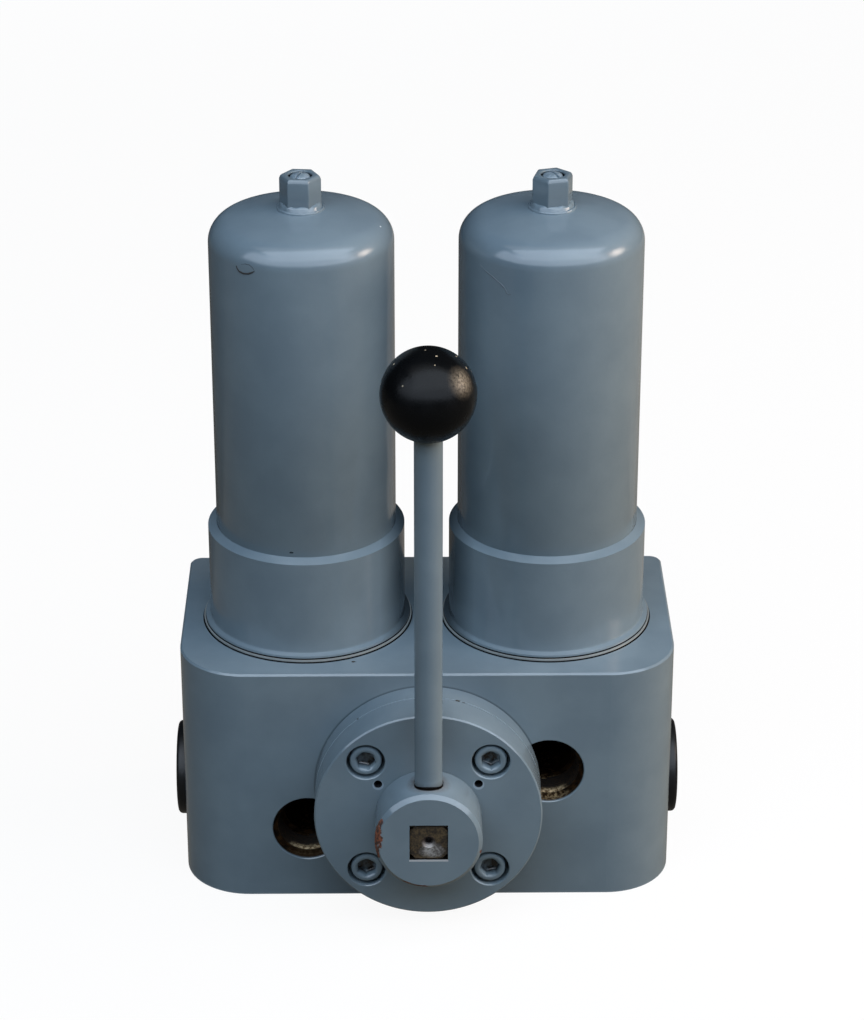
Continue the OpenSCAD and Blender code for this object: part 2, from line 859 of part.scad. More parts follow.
module valve_spool() {
    tail = spool_room - valve_depth;
    square_end = hub_face - square_sink;
    square_foot = cover_face - past;
    color("rosybrown")
        difference() {
            union() {
                translate([0, 0, tail])
                    cylinder(r = spool_core, h = spool_front - tail);
                translate([0, 0, tail])
                    cylinder(r = spool_radius, h = -tail - rear_waist - waist_length);
                translate([0, 0, -rear_waist])
                    cylinder(r = spool_radius, h = rear_waist - front_waist - waist_length);
                translate([0, 0, -front_waist])
                    cylinder(r = spool_radius, h = spool_front + front_waist);
                translate([0, 0, -front_waist - waist_length])
                    shutter(feed_shutter);
                translate([0, 0, -rear_waist - waist_length])
                    shutter(clean_shutter);
                translate([0, 0, spool_front - past])
                    cylinder(r = journal_radius, h = square_foot - spool_front + past);
                translate([0, 0, square_foot - past])
                    linear_extrude(height = square_end - square_foot + past)
                        intersection() {
                            square(square_side, center = true);
                            rotate([0, 0, 45])
                                square(square_side * sqrt(2) - 2 * square_corner, center = true);
                        }
            }
            for (z = spool_grooves)
                translate([0, 0, z - groove_width / 2])
                    tube(spool_radius + past, spool_radius - groove_depth, groove_width);
            translate([0, 0, square_end - centre_depth])
                cylinder(r = centre_radius, h = centre_depth + past);
            translate([0, 0, square_end - countersink_depth])
                cylinder(r1 = centre_radius, r2 = countersink_radius, h = countersink_depth);
            translate([0, 0, square_end])
                cylinder(r = countersink_radius, h = past);
        }
}

module spool_o_rings() {
    color("dimgray")
        for (z = spool_grooves)
            translate([0, 0, z])
                o_ring(spool_radius - groove_depth + cord, cord - fixed_gap);
}

// Lever

// Half section of the hub, with its front edge rounded
module hub_section() {
    polygon([[0, 0], [hub_radius, 0], [hub_radius, hub_length - hub_edge],
        [hub_radius - hub_edge, hub_length], [0, hub_length]]);
}

module lever_hub() {
    square_hole = square_side + 2 * square_gap;
    color("lightslategray")
        difference() {
            translate([0, 0, hub_back])
                rotate_extrude()
                    hub_section();
            translate([-square_hole / 2, -square_hole / 2, hub_back - past])
                cube([square_hole, square_hole, hub_length + 2 * past]);
            translate([0, 0, lever_plane])
                rotate([-90, 0, 0]) {
                    cylinder(r = rod_radius + fixed_gap, h = hub_radius + past);
                    translate([0, 0, hub_radius - rod_mouth])
                        cylinder(r = rod_radius + rod_mouth_gap, h = rod_mouth + past);
                }
        }
}

module lever_rod() {
    color("lightslategray") {
        translate([0, 0, rod_foot])
            cylinder(r = rod_radius, h = knob_foot - rod_foot);
        translate([0, 0, knob_foot - past])
            cylinder(r = rod_neck, h = insert_length - insert_floor + past);
    }
}

module ball_knob() {
    color("black")
        difference() {
            translate([0, 0, lever_length])
                sphere(r = knob_radius);
            translate([0, 0, knob_foot - 2 * knob_radius])
                cylinder(r = knob_radius, h = 2 * knob_radius);
            translate([0, 0, knob_foot - past])
                cylinder(r = insert_radius, h = insert_length + past);
        }
}

module knob_insert() {
    color("goldenrod")
        translate([0, 0, knob_foot])
            tube(insert_radius - fixed_gap, rod_neck + fixed_gap, insert_length);
}

filter_head();
on_valve() spacer_ring();
on_valve() cover_flange();
on_valve() cover_screws();
on_valve() cover_o_rings();
on_valve() spindle_bush();
on_valve() spindle_seal();
on_valve() thrust_washer();
on_valve() valve_spool();
on_valve() spool_o_rings();
on_valve() lever_hub();
on_lever() lever_rod();
on_lever() ball_knob();
on_lever() knob_insert();
for (s = SIDES) {
    on_bowl(s[1]) bowl_tube();
    on_bowl(s[1]) bowl_collar();
    on_bowl(s[1]) bowl_o_ring();
    on_bowl(s[1]) bowl_gasket();
    on_pad(s[1]) vent_boss();
    on_pad(s[1]) vent_screw();
    on_pad(s[1]) vent_seal();
    on_socket(s[1]) element_spigot();
    on_socket(s[1]) spigot_o_ring();
    on_socket(s[1]) element_foot_cap();
    on_socket(s[1]) element_core();
    on_socket(s[1]) element_pleats();
    on_socket(s[1]) element_top_cap();
    on_socket(s[1]) element_spring();
    on_side_port(s[1]) port_plug();
    on_side_port(s[1]) plug_seal();
}
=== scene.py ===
from math import atan2, cos, hypot, pi, radians, sin, sqrt

import bmesh
import bpy
from mathutils import Euler, Matrix, Vector, noise


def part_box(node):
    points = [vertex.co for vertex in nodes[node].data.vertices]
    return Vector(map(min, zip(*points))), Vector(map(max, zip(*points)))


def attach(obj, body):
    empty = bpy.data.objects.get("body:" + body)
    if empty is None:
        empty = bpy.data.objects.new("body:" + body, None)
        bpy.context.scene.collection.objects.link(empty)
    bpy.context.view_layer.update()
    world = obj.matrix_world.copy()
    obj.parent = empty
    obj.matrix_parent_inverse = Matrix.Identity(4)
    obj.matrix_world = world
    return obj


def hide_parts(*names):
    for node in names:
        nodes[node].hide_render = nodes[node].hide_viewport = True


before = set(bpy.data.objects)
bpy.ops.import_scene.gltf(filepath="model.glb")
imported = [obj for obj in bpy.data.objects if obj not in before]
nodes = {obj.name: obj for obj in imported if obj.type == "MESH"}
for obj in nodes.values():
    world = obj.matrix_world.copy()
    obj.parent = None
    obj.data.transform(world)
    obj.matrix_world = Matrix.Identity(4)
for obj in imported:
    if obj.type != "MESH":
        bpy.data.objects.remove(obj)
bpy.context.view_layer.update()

# Head block
# A solid block of steel with the bowl sockets, the ports and the valve bore cut into it.
# It was sprayed blue-grey once the strainer was together, so the open ports inside stay bare and rusty.


def linear(colour):
    """The linear RGBA of an sRGB hex colour."""
    channels = [int(colour[i:i + 2], 16) / 255 for i in (1, 3, 5)]
    return [c / 12.92 if c <= 0.04045 else ((c + 0.055) / 1.055) ** 2.4 for c in channels] + [1]


def feed(node, inputs):
    """Sets a node's inputs to values or hex colours, or links them to sockets. From and To take a range."""
    for name, value in inputs.items():
        if name in ("From", "To"):
            feed(node, {name + " Min": value[0], name + " Max": value[1]})
        elif isinstance(value, bpy.types.NodeSocket):
            node.id_data.links.new(value, node.inputs[name])
        else:
            node.inputs[name].default_value = linear(value) if isinstance(value, str) else value


def add(tree, kind, inputs=None, out=0, **settings):
    """Adds a node, feeds it and gives one of its outputs. A word after its kind names its operation."""
    kind, *operation = kind.split()
    node = tree.nodes.new("ShaderNode" + kind)
    if operation:
        node.operation = operation[0]
    for name, value in settings.items():
        setattr(node, name, value)
    feed(node, inputs or {})
    return node.outputs[out]


def layered(tree, colour, *coats):
    """Lays coats over a colour, one on the other. A coat is a colour after its masks, which multiply."""
    for cover, *masks, over in coats:
        for mask in masks:
            cover = add(tree, "Math MULTIPLY", {0: cover, 1: mask})
        colour = add(tree, "Mix", {0: cover, 6: colour, 7: over}, 2, data_type="RGBA")
    return colour


def new_finish(name):
    """A material of that name, with its node tree, its shader and its Object coordinates."""
    material = bpy.data.materials.new(name)
    material.use_nodes = True
    tree = material.node_tree
    return material, tree, tree.nodes["Principled BSDF"], add(tree, "TexCoord", out="Object")


def blotches(tree, place, size, detail, levels):
    """Noise with blotches of a real size, and what a range of levels makes of it."""
    field = add(tree, "TexNoise", {"Vector": place, "Scale": 1 / size, "Detail": detail})
    return field, add(tree, "MapRange", {"Value": field, **levels})


PAINT_THIN = "#6E7E88"
PAINT_THICK = "#75858E"
PAINT_CLOUD = 0.028
PAINT_PEEL = 0.0024
PAINT_GRIT = 0.0007
PAINT_RELIEF = 0.00003


def enamel(name, tool_marks=(1, 1, 1), mark_size=0.004):
    """Satin alkyd enamel, sprayed on: a soft gloss with faint orange peel, cloudy where it went on
    thicker. tool_marks stretches the fine marks of turning or drawing that show through it."""
    material, tree, shader, place = new_finish(name)
    cloud, patchy = blotches(tree, place, PAINT_CLOUD, 4.0, {"From": (0.35, 0.65)})
    colour = layered(tree, PAINT_THIN, (patchy, PAINT_THICK))
    gloss = add(tree, "MapRange", {"Value": cloud, "From": (0.3, 0.7), "To": (0.13, 0.18)})
    peel = add(tree, "TexNoise", {"Vector": place, "Scale": 1 / PAINT_PEEL, "Detail": 1.0})
    grit = add(tree, "TexNoise", {"Vector": place, "Scale": 1 / PAINT_GRIT, "Detail": 2.0})
    drawn = add(tree, "Mapping", {"Vector": place, "Scale": tool_marks})
    marks = add(tree, "TexNoise", {"Vector": drawn, "Scale": 1 / mark_size, "Detail": 3.0})
    coarse = add(tree, "Math MULTIPLY_ADD", {0: marks, 1: 0.5, 2: peel})
    height = add(tree, "Math MULTIPLY_ADD", {0: grit, 1: 0.25, 2: coarse})
    bump = add(tree, "Bump", {"Height": height, "Strength": 1.0, "Distance": PAINT_RELIEF})
    feed(shader, {"Base Color": colour, "Roughness": gloss, "Normal": bump})
    return material, tree, shader, place, colour, gloss


def off_axis(tree, first, second):
    """Distance from an axis, out of the offsets from it in the two other directions."""
    offset = add(tree, "CombineXYZ", {0: first, 1: second})
    return add(tree, "VectorMath LENGTH", {0: offset}, "Value")


def in_bore(tree, distance, depth, radius, mouth, bottom):
    """Mask of a drilled hole: within radius of its axis, bare from the depths in mouth down to its bottom."""
    near = add(tree, "Math LESS_THAN", {0: distance, 1: radius})
    above_bottom = add(tree, "Math LESS_THAN", {0: depth, 1: bottom})
    inside = add(tree, "Math MULTIPLY", {0: near, 1: above_bottom})
    bare = add(tree, "MapRange", {"Value": depth, "From": mouth})
    return add(tree, "Math MULTIPLY", {0: inside, 1: bare})


def spot(tree, place, centre, reach, teeth):
    """Mask of one ragged spot: reach is its half size along each axis, teeth the size of its ragged edge."""
    offset = add(tree, "VectorMath SUBTRACT", {0: place, 1: centre})
    scaled = add(tree, "VectorMath MULTIPLY", {0: offset, 1: [1 / r for r in reach]})
    distance = add(tree, "VectorMath LENGTH", {0: scaled}, "Value")
    ragged = add(tree, "TexNoise", {"Vector": place, "Scale": 1 / teeth, "Detail": 3.0})
    edge = add(tree, "Math MULTIPLY_ADD", {0: ragged, 1: 1.4, 2: distance})
    return add(tree, "MapRange", {"Value": edge, "From": (1.6, 1.5)})


def middle_of(name):
    """Centre of a CAD node's box."""
    low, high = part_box(name)
    return [(a + b) / 2 for a, b in zip(low, high)]


head_low, head_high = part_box("filter_head")
block_top = head_high.z
bowl_x = middle_of("right_bowl_tube")[0]
gauge_z = {"left": 0.0429, "right": 0.0793}
cover_low, cover_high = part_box("cover_flange")
cover_radius = (cover_high.x - cover_low.x) / 2
valve_z = middle_of("cover_flange")[2]
side_port_z = middle_of("left_port_plug")[2]


def beside_bowl(tree, axes):
    """Offset along x from the axis of the bowl on this side, counted outwards."""
    across = add(tree, "Math ABSOLUTE", {0: axes["X"]})
    return add(tree, "Math SUBTRACT", {0: across, 1: bowl_x})


def above_port(tree, axes):
    """Height above the axis of the gauge port on this side: the left port is low, the right one high."""
    half_rise = (gauge_z["right"] - gauge_z["left"]) / 2
    side = add(tree, "Math SIGN", {0: axes["X"]})
    port_rise = add(tree, "Math MULTIPLY_ADD", {0: side, 1: half_rise, 2: gauge_z["left"] + half_rise})
    return add(tree, "Math SUBTRACT", {0: axes["Z"], 1: port_rise})


# Flat milled faces leave the paint even. It ends just inside the ports, on dark rust with pale dust below
# that is partly painted light. Painted shade darkens the gap round each bowl's ring and the corner round the
# cover.
block_finish, tree, shader, place, colour, gloss = enamel("Sprayed enamel on milled steel", (1, 1, 0.2))
axes = add(tree, "SeparateXYZ", {0: place}).node.outputs
from_bowl = beside_bowl(tree, axes)
from_port = above_port(tree, axes)
bowl_distance = off_axis(tree, from_bowl, axes["Y"])
from_side = add(tree, "Math SUBTRACT", {0: axes["Z"], 1: side_port_z})
into_front = add(tree, "Math SUBTRACT", {0: axes["Y"], 1: head_low.y})
into_top = add(tree, "Math SUBTRACT", {0: block_top, 1: axes["Z"]})
into_side = add(tree, "Math SUBTRACT", {0: head_high.x - bowl_x, 1: from_bowl})
gauge_bore = in_bore(tree, off_axis(tree, from_bowl, from_port), into_front,
                     radius=0.0197, mouth=(0.0003, 0.0020), bottom=0.060)
socket_bore = in_bore(tree, bowl_distance, into_top, radius=0.0506, mouth=(0.0004, 0.0010), bottom=0.135)
side_bore = in_bore(tree, off_axis(tree, axes["Y"], from_side), into_side,
                    radius=0.0230, mouth=(0.0004, 0.0010), bottom=0.135)
_, rust_share = blotches(tree, place, 0.003, 6.0, {"From": (0.42, 0.68)})
_, grit_share = blotches(tree, place, 0.0017, 4.0, {"From": (0.40, 0.66)})
drift = add(tree, "MapRange", {"Value": into_front, "From": (0.0005, 0.0050), "To Min": 0.15})
on_right = add(tree, "Math GREATER_THAN", {0: axes["X"], 1: 0.0})
fresh = add(tree, "Math MULTIPLY_ADD", {0: on_right, 1: 0.75, 2: 0.1})
grit = layered(tree, "#2A1D11", (grit_share, drift, fresh, "#B39C78"))
# Pale dust on the port's lower wall, also painted light where light falls into the port.
dust_and_light_below = add(tree, "MapRange", {"Value": from_port, "From": (-0.0145, -0.0180)})
RUST_BROWN = "#3A2817"
rust = layered(tree, "#140F0B", (rust_share, RUST_BROWN), (dust_and_light_below, grit))
oily = layered(tree, "#4A4B4C", (rust_share, "#6C6A66"))
# Painted shade: a dark ring on the block top in the gap round each bowl's ring.
bowl_gap_shade = add(tree, "MapRange", {"Value": bowl_distance, "From": (0.0593, 0.0591)})
at_top = add(tree, "Math GREATER_THAN", {0: axes["Z"], 1: block_top - 0.004})
dirt = spot(tree, place, (-0.0408, -0.0572, block_top), (0.0016, 0.0010, 0.001), 0.0012)
from_valve = add(tree, "Math SUBTRACT", {0: axes["Z"], 1: valve_z})
cover_distance = off_axis(tree, axes["X"], from_valve)
# Painted shade: a dark ring on the front face round the cover.
corner_shade = add(tree, "MapRange", {"Value": cover_distance, "To Max": 0.55,
                                   "From": (cover_radius + 0.0012, cover_radius + 0.0003)})
on_front = add(tree, "Math LESS_THAN", {0: into_front, 1: 0.0005})
colour = layered(tree, colour, (socket_bore, oily), (side_bore, oily), (gauge_bore, rust),
                 (bowl_gap_shade, at_top, "#191B1B"), (dirt, "#3B3A36"), (corner_shade, on_front, "#22272A"))
bare = add(tree, "Math MAXIMUM", {0: socket_bore, 1: side_bore})
rough = add(tree, "Math MULTIPLY_ADD", {0: gauge_bore, 1: 0.45, 2: gloss})
feed(shader, {"Base Color": colour, "Roughness": rough, "Metallic": bare,
              "Specular Tint": layered(tree, "#FFFFFF", (gauge_bore, RUST_BROWN))})


def coat(finish, *names):
    """Puts a finish on CAD nodes."""
    for name in names:
        nodes[name].data.materials.clear()
        nodes[name].data.materials.append(finish)


coat(block_finish, "filter_head")

# Gauge port threads
# The two open holes in the front face are tapped with a fine thread behind a short counterbore.
# Bare steel, gone brown: the ridge is drawn as one helix standing in from the tapped wall.

SIDES = {"left": -1, "right": 1}


def finished(name, bm, finish, body, stands_for=None, sharp=35, at=Matrix()):
    """Makes a bmesh, moved by at, into a piece at the origin that rides on a body. It may stand for a
    CAD node."""
    bmesh.ops.transform(bm, matrix=at, verts=bm.verts)
    bmesh.ops.remove_doubles(bm, verts=bm.verts, dist=1e-7)
    bmesh.ops.recalc_face_normals(bm, faces=bm.faces)
    mesh = bpy.data.meshes.new(name)
    bm.to_mesh(mesh)
    bm.free()
    mesh.shade_smooth()
    mesh.set_sharp_from_angle(angle=radians(sharp))
    mesh.materials.append(finish)
    piece = bpy.data.objects.new(name, mesh)
    bpy.context.scene.collection.objects.link(piece)
    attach(piece, body)
    if stands_for:
        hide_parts(stands_for)


def thread(bm, root, crest, start, length, pitch, steps=48):
    """One helical ridge round the z axis, from height start, between the root and crest radii."""
    section = [bm.verts.new((root, 0, start)), bm.verts.new((crest, 0, start + 0.42 * pitch)),
               bm.verts.new((crest, 0, start + 0.58 * pitch)), bm.verts.new((root, 0, start + pitch))]
    edges = [bm.edges.new((section[i], section[(i + 1) % 4])) for i in range(4)]
    turns = length / pitch - 1
    bmesh.ops.spin(bm, geom=section + edges, cent=(0, 0, 0), axis=(0, 0, 1), dvec=(0, 0, pitch / steps),
                   angle=2 * pi * turns, steps=round(steps * turns))
    bmesh.ops.holes_fill(bm, edges=bm.edges, sides=4)


# Old rust is dull and nearly black, and pale dust lies in the lower turns near the mouth, made paler as
# painted light where light falls into the port.
tapped_finish, tree, shader, place = new_finish("Tapped steel, brown with old rust")
axes = add(tree, "SeparateXYZ", {0: place}).node.outputs
rust_size, rust_share = blotches(tree, place, 0.0017, 5.0, {"From": (0.40, 0.66)})
# Pale dust in the lower turns near the mouth, also painted light where light falls into the port.
dust_and_light_below = add(tree, "MapRange", {"Value": above_port(tree, axes), "From": (-0.0125, -0.0155)})
at_mouth = add(tree, "MapRange", {"Value": axes["Y"], "From": (head_low.y + 0.0105, head_low.y + 0.0070)})
clean_thread = layered(tree, "#0E0B08", (rust_share, "#22180F"))
lit_dusty_thread = layered(tree, "#5A4730", (rust_share, "#C7B18C"))
rough = add(tree, "MapRange", {"Value": rust_size, "To": (0.6, 0.9)})
feed(shader, {"Base Color": layered(tree, clean_thread, (dust_and_light_below, at_mouth, lit_dusty_thread)), "Roughness": rough,
              "Specular IOR Level": 0.1})

GAUGE_ROOT = 0.0171
GAUGE_CREST = 0.0161
GAUGE_START = 0.0052
GAUGE_LENGTH = 0.0165
GAUGE_PITCH = 0.002
for side, sign in SIDES.items():
    bm = bmesh.new()
    thread(bm, GAUGE_ROOT, GAUGE_CREST, GAUGE_START, GAUGE_LENGTH, GAUGE_PITCH)
    mouth = Matrix.Translation((sign * bowl_x, head_low.y, gauge_z[side]))
    finished(f"{side}_gauge_thread", bm, tapped_finish, "head",
             at=mouth @ Matrix.Rotation(radians(-90), 4, "X"))

# Bowls
# Each bowl is a drawn steel tube with a dished end, threaded at the foot, with a collar welded round it.
# Painted outside down to the collar's lip; the threaded foot below it is bare and oily.

TUBE_RADIUS = 0.050
TUBE_WALL = 0.005
KNUCKLE = 0.014
CROWN = 0.150
CROWN_BORE = 0.006
VENT_BORE = 0.0043
PAD_RADIUS = 0.013
BOWL_THREAD_START = -0.0205
BOWL_THREAD_LENGTH = 0.0180
BOWL_THREAD_PITCH = 0.003
BOWL_THREAD_DEPTH = 0.0013
BOWL_STEPS = 192
TUBE_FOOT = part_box("left_bowl_tube")[0].z - block_top
PAD_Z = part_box("left_bowl_tube")[1].z - block_top
DOME_TOP = PAD_Z + CROWN - sqrt(CROWN ** 2 - PAD_RADIUS ** 2)


def knuckle_middle(radius, knuckle, crown, top):
    """Height of the middle of the arc between the wall of a dished end and its crown."""
    return top - crown + sqrt((crown - knuckle) ** 2 - (radius - knuckle) ** 2)


def dished_line(radius, knuckle, crown, top, rim):
    """Outline of a dished end from the foot of its knuckle up to radius rim on its crown."""
    reach, centre = radius - knuckle, top - crown
    knuckle_z = knuckle_middle(radius, knuckle, crown, top)
    tangent = atan2(knuckle_z - centre, reach)
    line = [(reach + knuckle * cos(a), knuckle_z + knuckle * sin(a)) for a in
            [tangent * i / 12 for i in range(13)]]
    first, last = atan2(reach, knuckle_z - centre), rim / crown
    line += [(crown * sin(a), centre + crown * cos(a)) for a in
             [first + (last - first) * i / 10 for i in range(1, 11)]]
    return line


def bowl_outline():
    """Half section of the bowl, from the foot's inner edge up the outside and down the inside."""
    groove_z, groove, groove_radius = TUBE_FOOT + 0.006, 0.0018, TUBE_RADIUS - 0.0029
    root = TUBE_RADIUS - BOWL_THREAD_DEPTH
    outside = [(TUBE_RADIUS - TUBE_WALL, TUBE_FOOT), (TUBE_RADIUS - 0.001, TUBE_FOOT),
               (TUBE_RADIUS, TUBE_FOOT + 0.001), (TUBE_RADIUS, groove_z - groove),
               (groove_radius, groove_z - groove), (groove_radius, groove_z + groove),
               (TUBE_RADIUS, groove_z + groove), (TUBE_RADIUS, groove_z + 0.004), (root, groove_z + 0.005),
               (root, -0.002), (TUBE_RADIUS, 0)]
    dome = dished_line(TUBE_RADIUS, KNUCKLE, CROWN, DOME_TOP, PAD_RADIUS)
    pad = [(VENT_BORE, PAD_Z), (VENT_BORE, DOME_TOP - TUBE_WALL)]
    inside = dished_line(TUBE_RADIUS - TUBE_WALL, KNUCKLE - TUBE_WALL, CROWN - TUBE_WALL,
                         DOME_TOP - TUBE_WALL, CROWN_BORE)
    return outside + dome + pad + inside[::-1]


def spun(bm, section):
    """A turned piece on the z axis, from the (radius, height) points of its closed half section."""
    points = [bm.verts.new((r, 0, z)) for r, z in section]
    edges = [bm.edges.new((points[i], points[(i + 1) % len(points)])) for i in range(len(points))]
    bmesh.ops.spin(bm, geom=points + edges, cent=(0, 0, 0), axis=(0, 0, 1), angle=2 * pi, steps=BOWL_STEPS,
                   use_merge=True)


def on_axis(side, height, turn=0.0):
    """Stands a piece on its bowl's axis, at a height and turned about it."""
    return Matrix.Translation((SIDES[side] * bowl_x, 0, height)) @ Matrix.Rotation(turn, 4, "Z")


# Drawn tube gives the paint faint upright streaks. Two pale specks, one dark nick, and bare oily steel below.
# Painted shade darkens the right bowl's side that faces the left bowl.
bowl_finish, tree, shader, place, colour, gloss = enamel("Sprayed enamel on drawn tube", (1, 1, 0.12), 0.0025)
axes = add(tree, "SeparateXYZ", {0: place}).node.outputs
below_lip = add(tree, "MapRange", {"Value": axes["Z"], "From": (block_top + 0.0012, block_top + 0.0004)})
grease = add(tree, "TexNoise", {"Vector": place, "Scale": 1 / 0.011, "Detail": 4.0})
oily_steel = layered(tree, "#4B4A48", (grease, "#8A8986"))
nick = spot(tree, place, (-bowl_x - 0.0068, -0.0495, block_top + 0.0635), (0.0012, 0.003, 0.0007), 0.0014)
# Painted shade on the right bowl's side that faces the left bowl.
tube_shade_between_bowls = add(tree, "MapRange", {"Value": axes["X"], "From": (0.032, 0.017), "To Max": 0.35})
on_right = add(tree, "Math GREATER_THAN", {0: axes["X"], 1: 0.0})
colour = layered(tree, colour, (below_lip, oily_steel), (nick, "#34393C"),
                 (tube_shade_between_bowls, on_right, "#263038"))
SPECKS = [(bowl_x + 0.0396, -0.0130, block_top + 0.2404), (-bowl_x + 0.0428, -0.0107, block_top + 0.2381)]
for centre in SPECKS:
    colour = layered(tree, colour, (spot(tree, place, centre, [0.0007] * 3, 0.002), "#D5DBE0"))
feed(shader, {"Base Color": colour, "Metallic": below_lip})

for side in SIDES:
    bm = bmesh.new()
    spun(bm, bowl_outline())
    thread(bm, TUBE_RADIUS - BOWL_THREAD_DEPTH - 0.0001, TUBE_RADIUS - 0.0001, BOWL_THREAD_START,
           BOWL_THREAD_LENGTH, BOWL_THREAD_PITCH, 72)
    finished(f"{side}_bowl", bm, bowl_finish, f"{side}_bowl", f"{side}_bowl_tube",
             at=on_axis(side, block_top))


def on_bowl(angle, height):
    """A point of a bowl's outside, by its angle from the front in degrees and its height in millimetres."""
    knuckle_z = knuckle_middle(TUBE_RADIUS, KNUCKLE, CROWN, DOME_TOP)
    up = height / 1000 - block_top
    radius = TUBE_RADIUS
    if up >= knuckle_z:
        radius = TUBE_RADIUS - KNUCKLE + sqrt(KNUCKLE ** 2 - (up - knuckle_z) ** 2)
    return Vector((radius * sin(radians(angle)), -radius * cos(radians(angle)), height / 1000))


def lifted(bm, ring):
    """Extrudes a closed ring of vertices and gives the new ring."""
    members = set(ring)
    loop = [e for e in bm.edges if e.verts[0] in members and e.verts[1] in members]
    made = bmesh.ops.extrude_edge_only(bm, edges=loop)["geom"]
    return [g for g in made if isinstance(g, bmesh.types.BMVert)]


def paint_run(name, side, finish, width, marks):
    """A bead of paint that sagged and dried along marks on a bowl, thickest in the middle."""
    bm = bmesh.new()
    ring = bmesh.ops.create_circle(bm, segments=10, radius=1)["verts"]
    points = [on_bowl(angle, height) for angle, height in marks]
    standing = Matrix.Identity(4)
    for i, point in enumerate(points):
        along = points[min(i + 1, len(points) - 1)] - points[max(i - 1, 0)]
        swell = width * (0.3 + 0.7 * sin(pi * (i + 0.5) / len(points)))
        placed = Matrix.LocRotScale(point, along.to_track_quat("Z", "Y"), (swell, swell, swell))
        if i:
            ring = lifted(bm, ring)
        bmesh.ops.transform(bm, matrix=placed @ standing.inverted(), verts=ring)
        standing = placed
    bmesh.ops.holes_fill(bm, edges=[e for e in bm.edges if e.is_boundary], sides=10)
    finished(name, bm, finish, f"{side}_bowl", sharp=80, at=on_axis(side, 0))


# The sag on the left bowl is a flat lens of paint that ran together, blunt below and thin above.
SAG_ANGLE, SAG_HEIGHT = -34.4, 367.2
SAG_HALF_ANGLE, SAG_HALF_HEIGHT = 6.8, 2.9
SAG_THICKNESS = 0.0009
SAG_SKIN = 0.0003
SAG_POINTS = 36
bm = bmesh.new()
bmesh.ops.create_circle(bm, segments=SAG_POINTS, radius=1, cap_ends=True)
for _ in range(4):
    middle = [f for f in bm.faces if len(f.verts) == SAG_POINTS]
    bmesh.ops.inset_region(bm, faces=middle, thickness=0.18, use_even_offset=True)
for v in bm.verts:
    out = min(hypot(v.co.x, v.co.y), 1)
    rise = SAG_THICKNESS * (1 - out ** 4) * (0.65 - 0.35 * v.co.y) - 0.0001
    foot = on_bowl(SAG_ANGLE + SAG_HALF_ANGLE * v.co.x, SAG_HEIGHT + SAG_HALF_HEIGHT * v.co.y)
    v.co = foot + Vector((foot.x, foot.y, 0)).normalized() * rise
bmesh.ops.transform(bm, matrix=on_axis("left", 0), verts=bm.verts)
bmesh.ops.solidify(bm, geom=bm.faces, thickness=SAG_SKIN)
finished("left_paint_sag", bm, bowl_finish, "left_bowl", sharp=80)

# Under the sag a thin dull dark line stands for dirt and painted shadow, and the edge of the right run is a
# dull grey line, darker than the paint.
dirt_and_shadow_finish, tree, shader, place = new_finish("Dirt and painted shadow under a paint sag")
feed(shader, {"Base Color": "#161413", "Roughness": 0.8})
run_finish, tree, shader, place = new_finish("Dull grey edge of a paint run")
feed(shader, {"Base Color": "#515C63", "Roughness": 0.6})
# A dark bead of dirt and painted shadow under the sag.
paint_run("left_sag_dirt_and_shadow", "left", dirt_and_shadow_finish, 0.0005, [
    (-41.4, 367.4), (-40.6, 365.9), (-38.9, 364.7), (-35.5, 364.2), (-32.0, 364.8), (-29.5, 365.9),
    (-27.8, 366.8)])
paint_run("left_sag_edge", "left", dirt_and_shadow_finish, 0.00014, [
    (-37.5, 369.0), (-34.5, 369.8), (-31.5, 369.8), (-29.0, 368.6), (-27.8, 367.0)])
paint_run("right_sag", "right", run_finish, 0.0003, [
    (-51.0, 364.9), (-48.8, 363.8), (-45.3, 362.4), (-41.2, 361.1), (-37.4, 359.4), (-33.7, 357.6),
    (-31.6, 356.0), (-30.4, 353.6), (-29.0, 353.0), (-27.3, 353.4)])

# Collars and rings under them
# A turned ring with a lip is welded round the foot of each tube. It stands on a flat ring let into the block.
# Painted together with the block, with painted shade in the gap between ring and block.

# Turning marks run round it. Between the bowls the paint is darkened as painted shade, and painted shade
# darkens the groove at its foot.
collar_finish, tree, shader, place, colour, gloss = enamel(
    "Sprayed enamel on turned steel", (0.3, 0.3, 6), 0.003)
axes = add(tree, "SeparateXYZ", {0: place}).node.outputs
# Painted shade in the groove at the collar's foot.
foot_groove_shade = add(tree, "MapRange", {"Value": axes["Z"], "From": (block_top + 0.0026, block_top + 0.0021)})
across = add(tree, "Math ABSOLUTE", {0: axes["X"]})
# Painted shade between the bowls.
collar_shade_between_bowls = add(tree, "MapRange", {"Value": across, "From": (0.026, 0.0125), "To Max": 0.8})
feed(shader, {"Base Color": layered(tree, colour, (collar_shade_between_bowls, "#1C242A"), (foot_groove_shade, "#2A2C2B"))})

# A shade paler all over, with a dark line of painted shade under the lip and in the corner with the block.
ring_finish, tree, shader, place, colour, gloss = enamel("Sprayed enamel on flat ring", (1, 1, 1), 0.003)
axes = add(tree, "SeparateXYZ", {0: place}).node.outputs
bowl_distance = off_axis(tree, beside_bowl(tree, axes), axes["Y"])
# Painted shade: a dark line under the lip and in the corner with the block.
under_lip = add(tree, "MapRange", {"Value": bowl_distance, "From": (0.0580, 0.0577)})
corner_shade = add(tree, "MapRange", {"Value": axes["Z"], "From": (block_top + 0.0008, block_top + 0.0005)})
lip_and_corner_shade = add(tree, "Math MAXIMUM", {0: under_lip, 1: corner_shade})
feed(shader, {"Base Color": layered(tree, colour, (0.45, "#A9A69C"), (lip_and_corner_shade, "#1A1C1C"))})

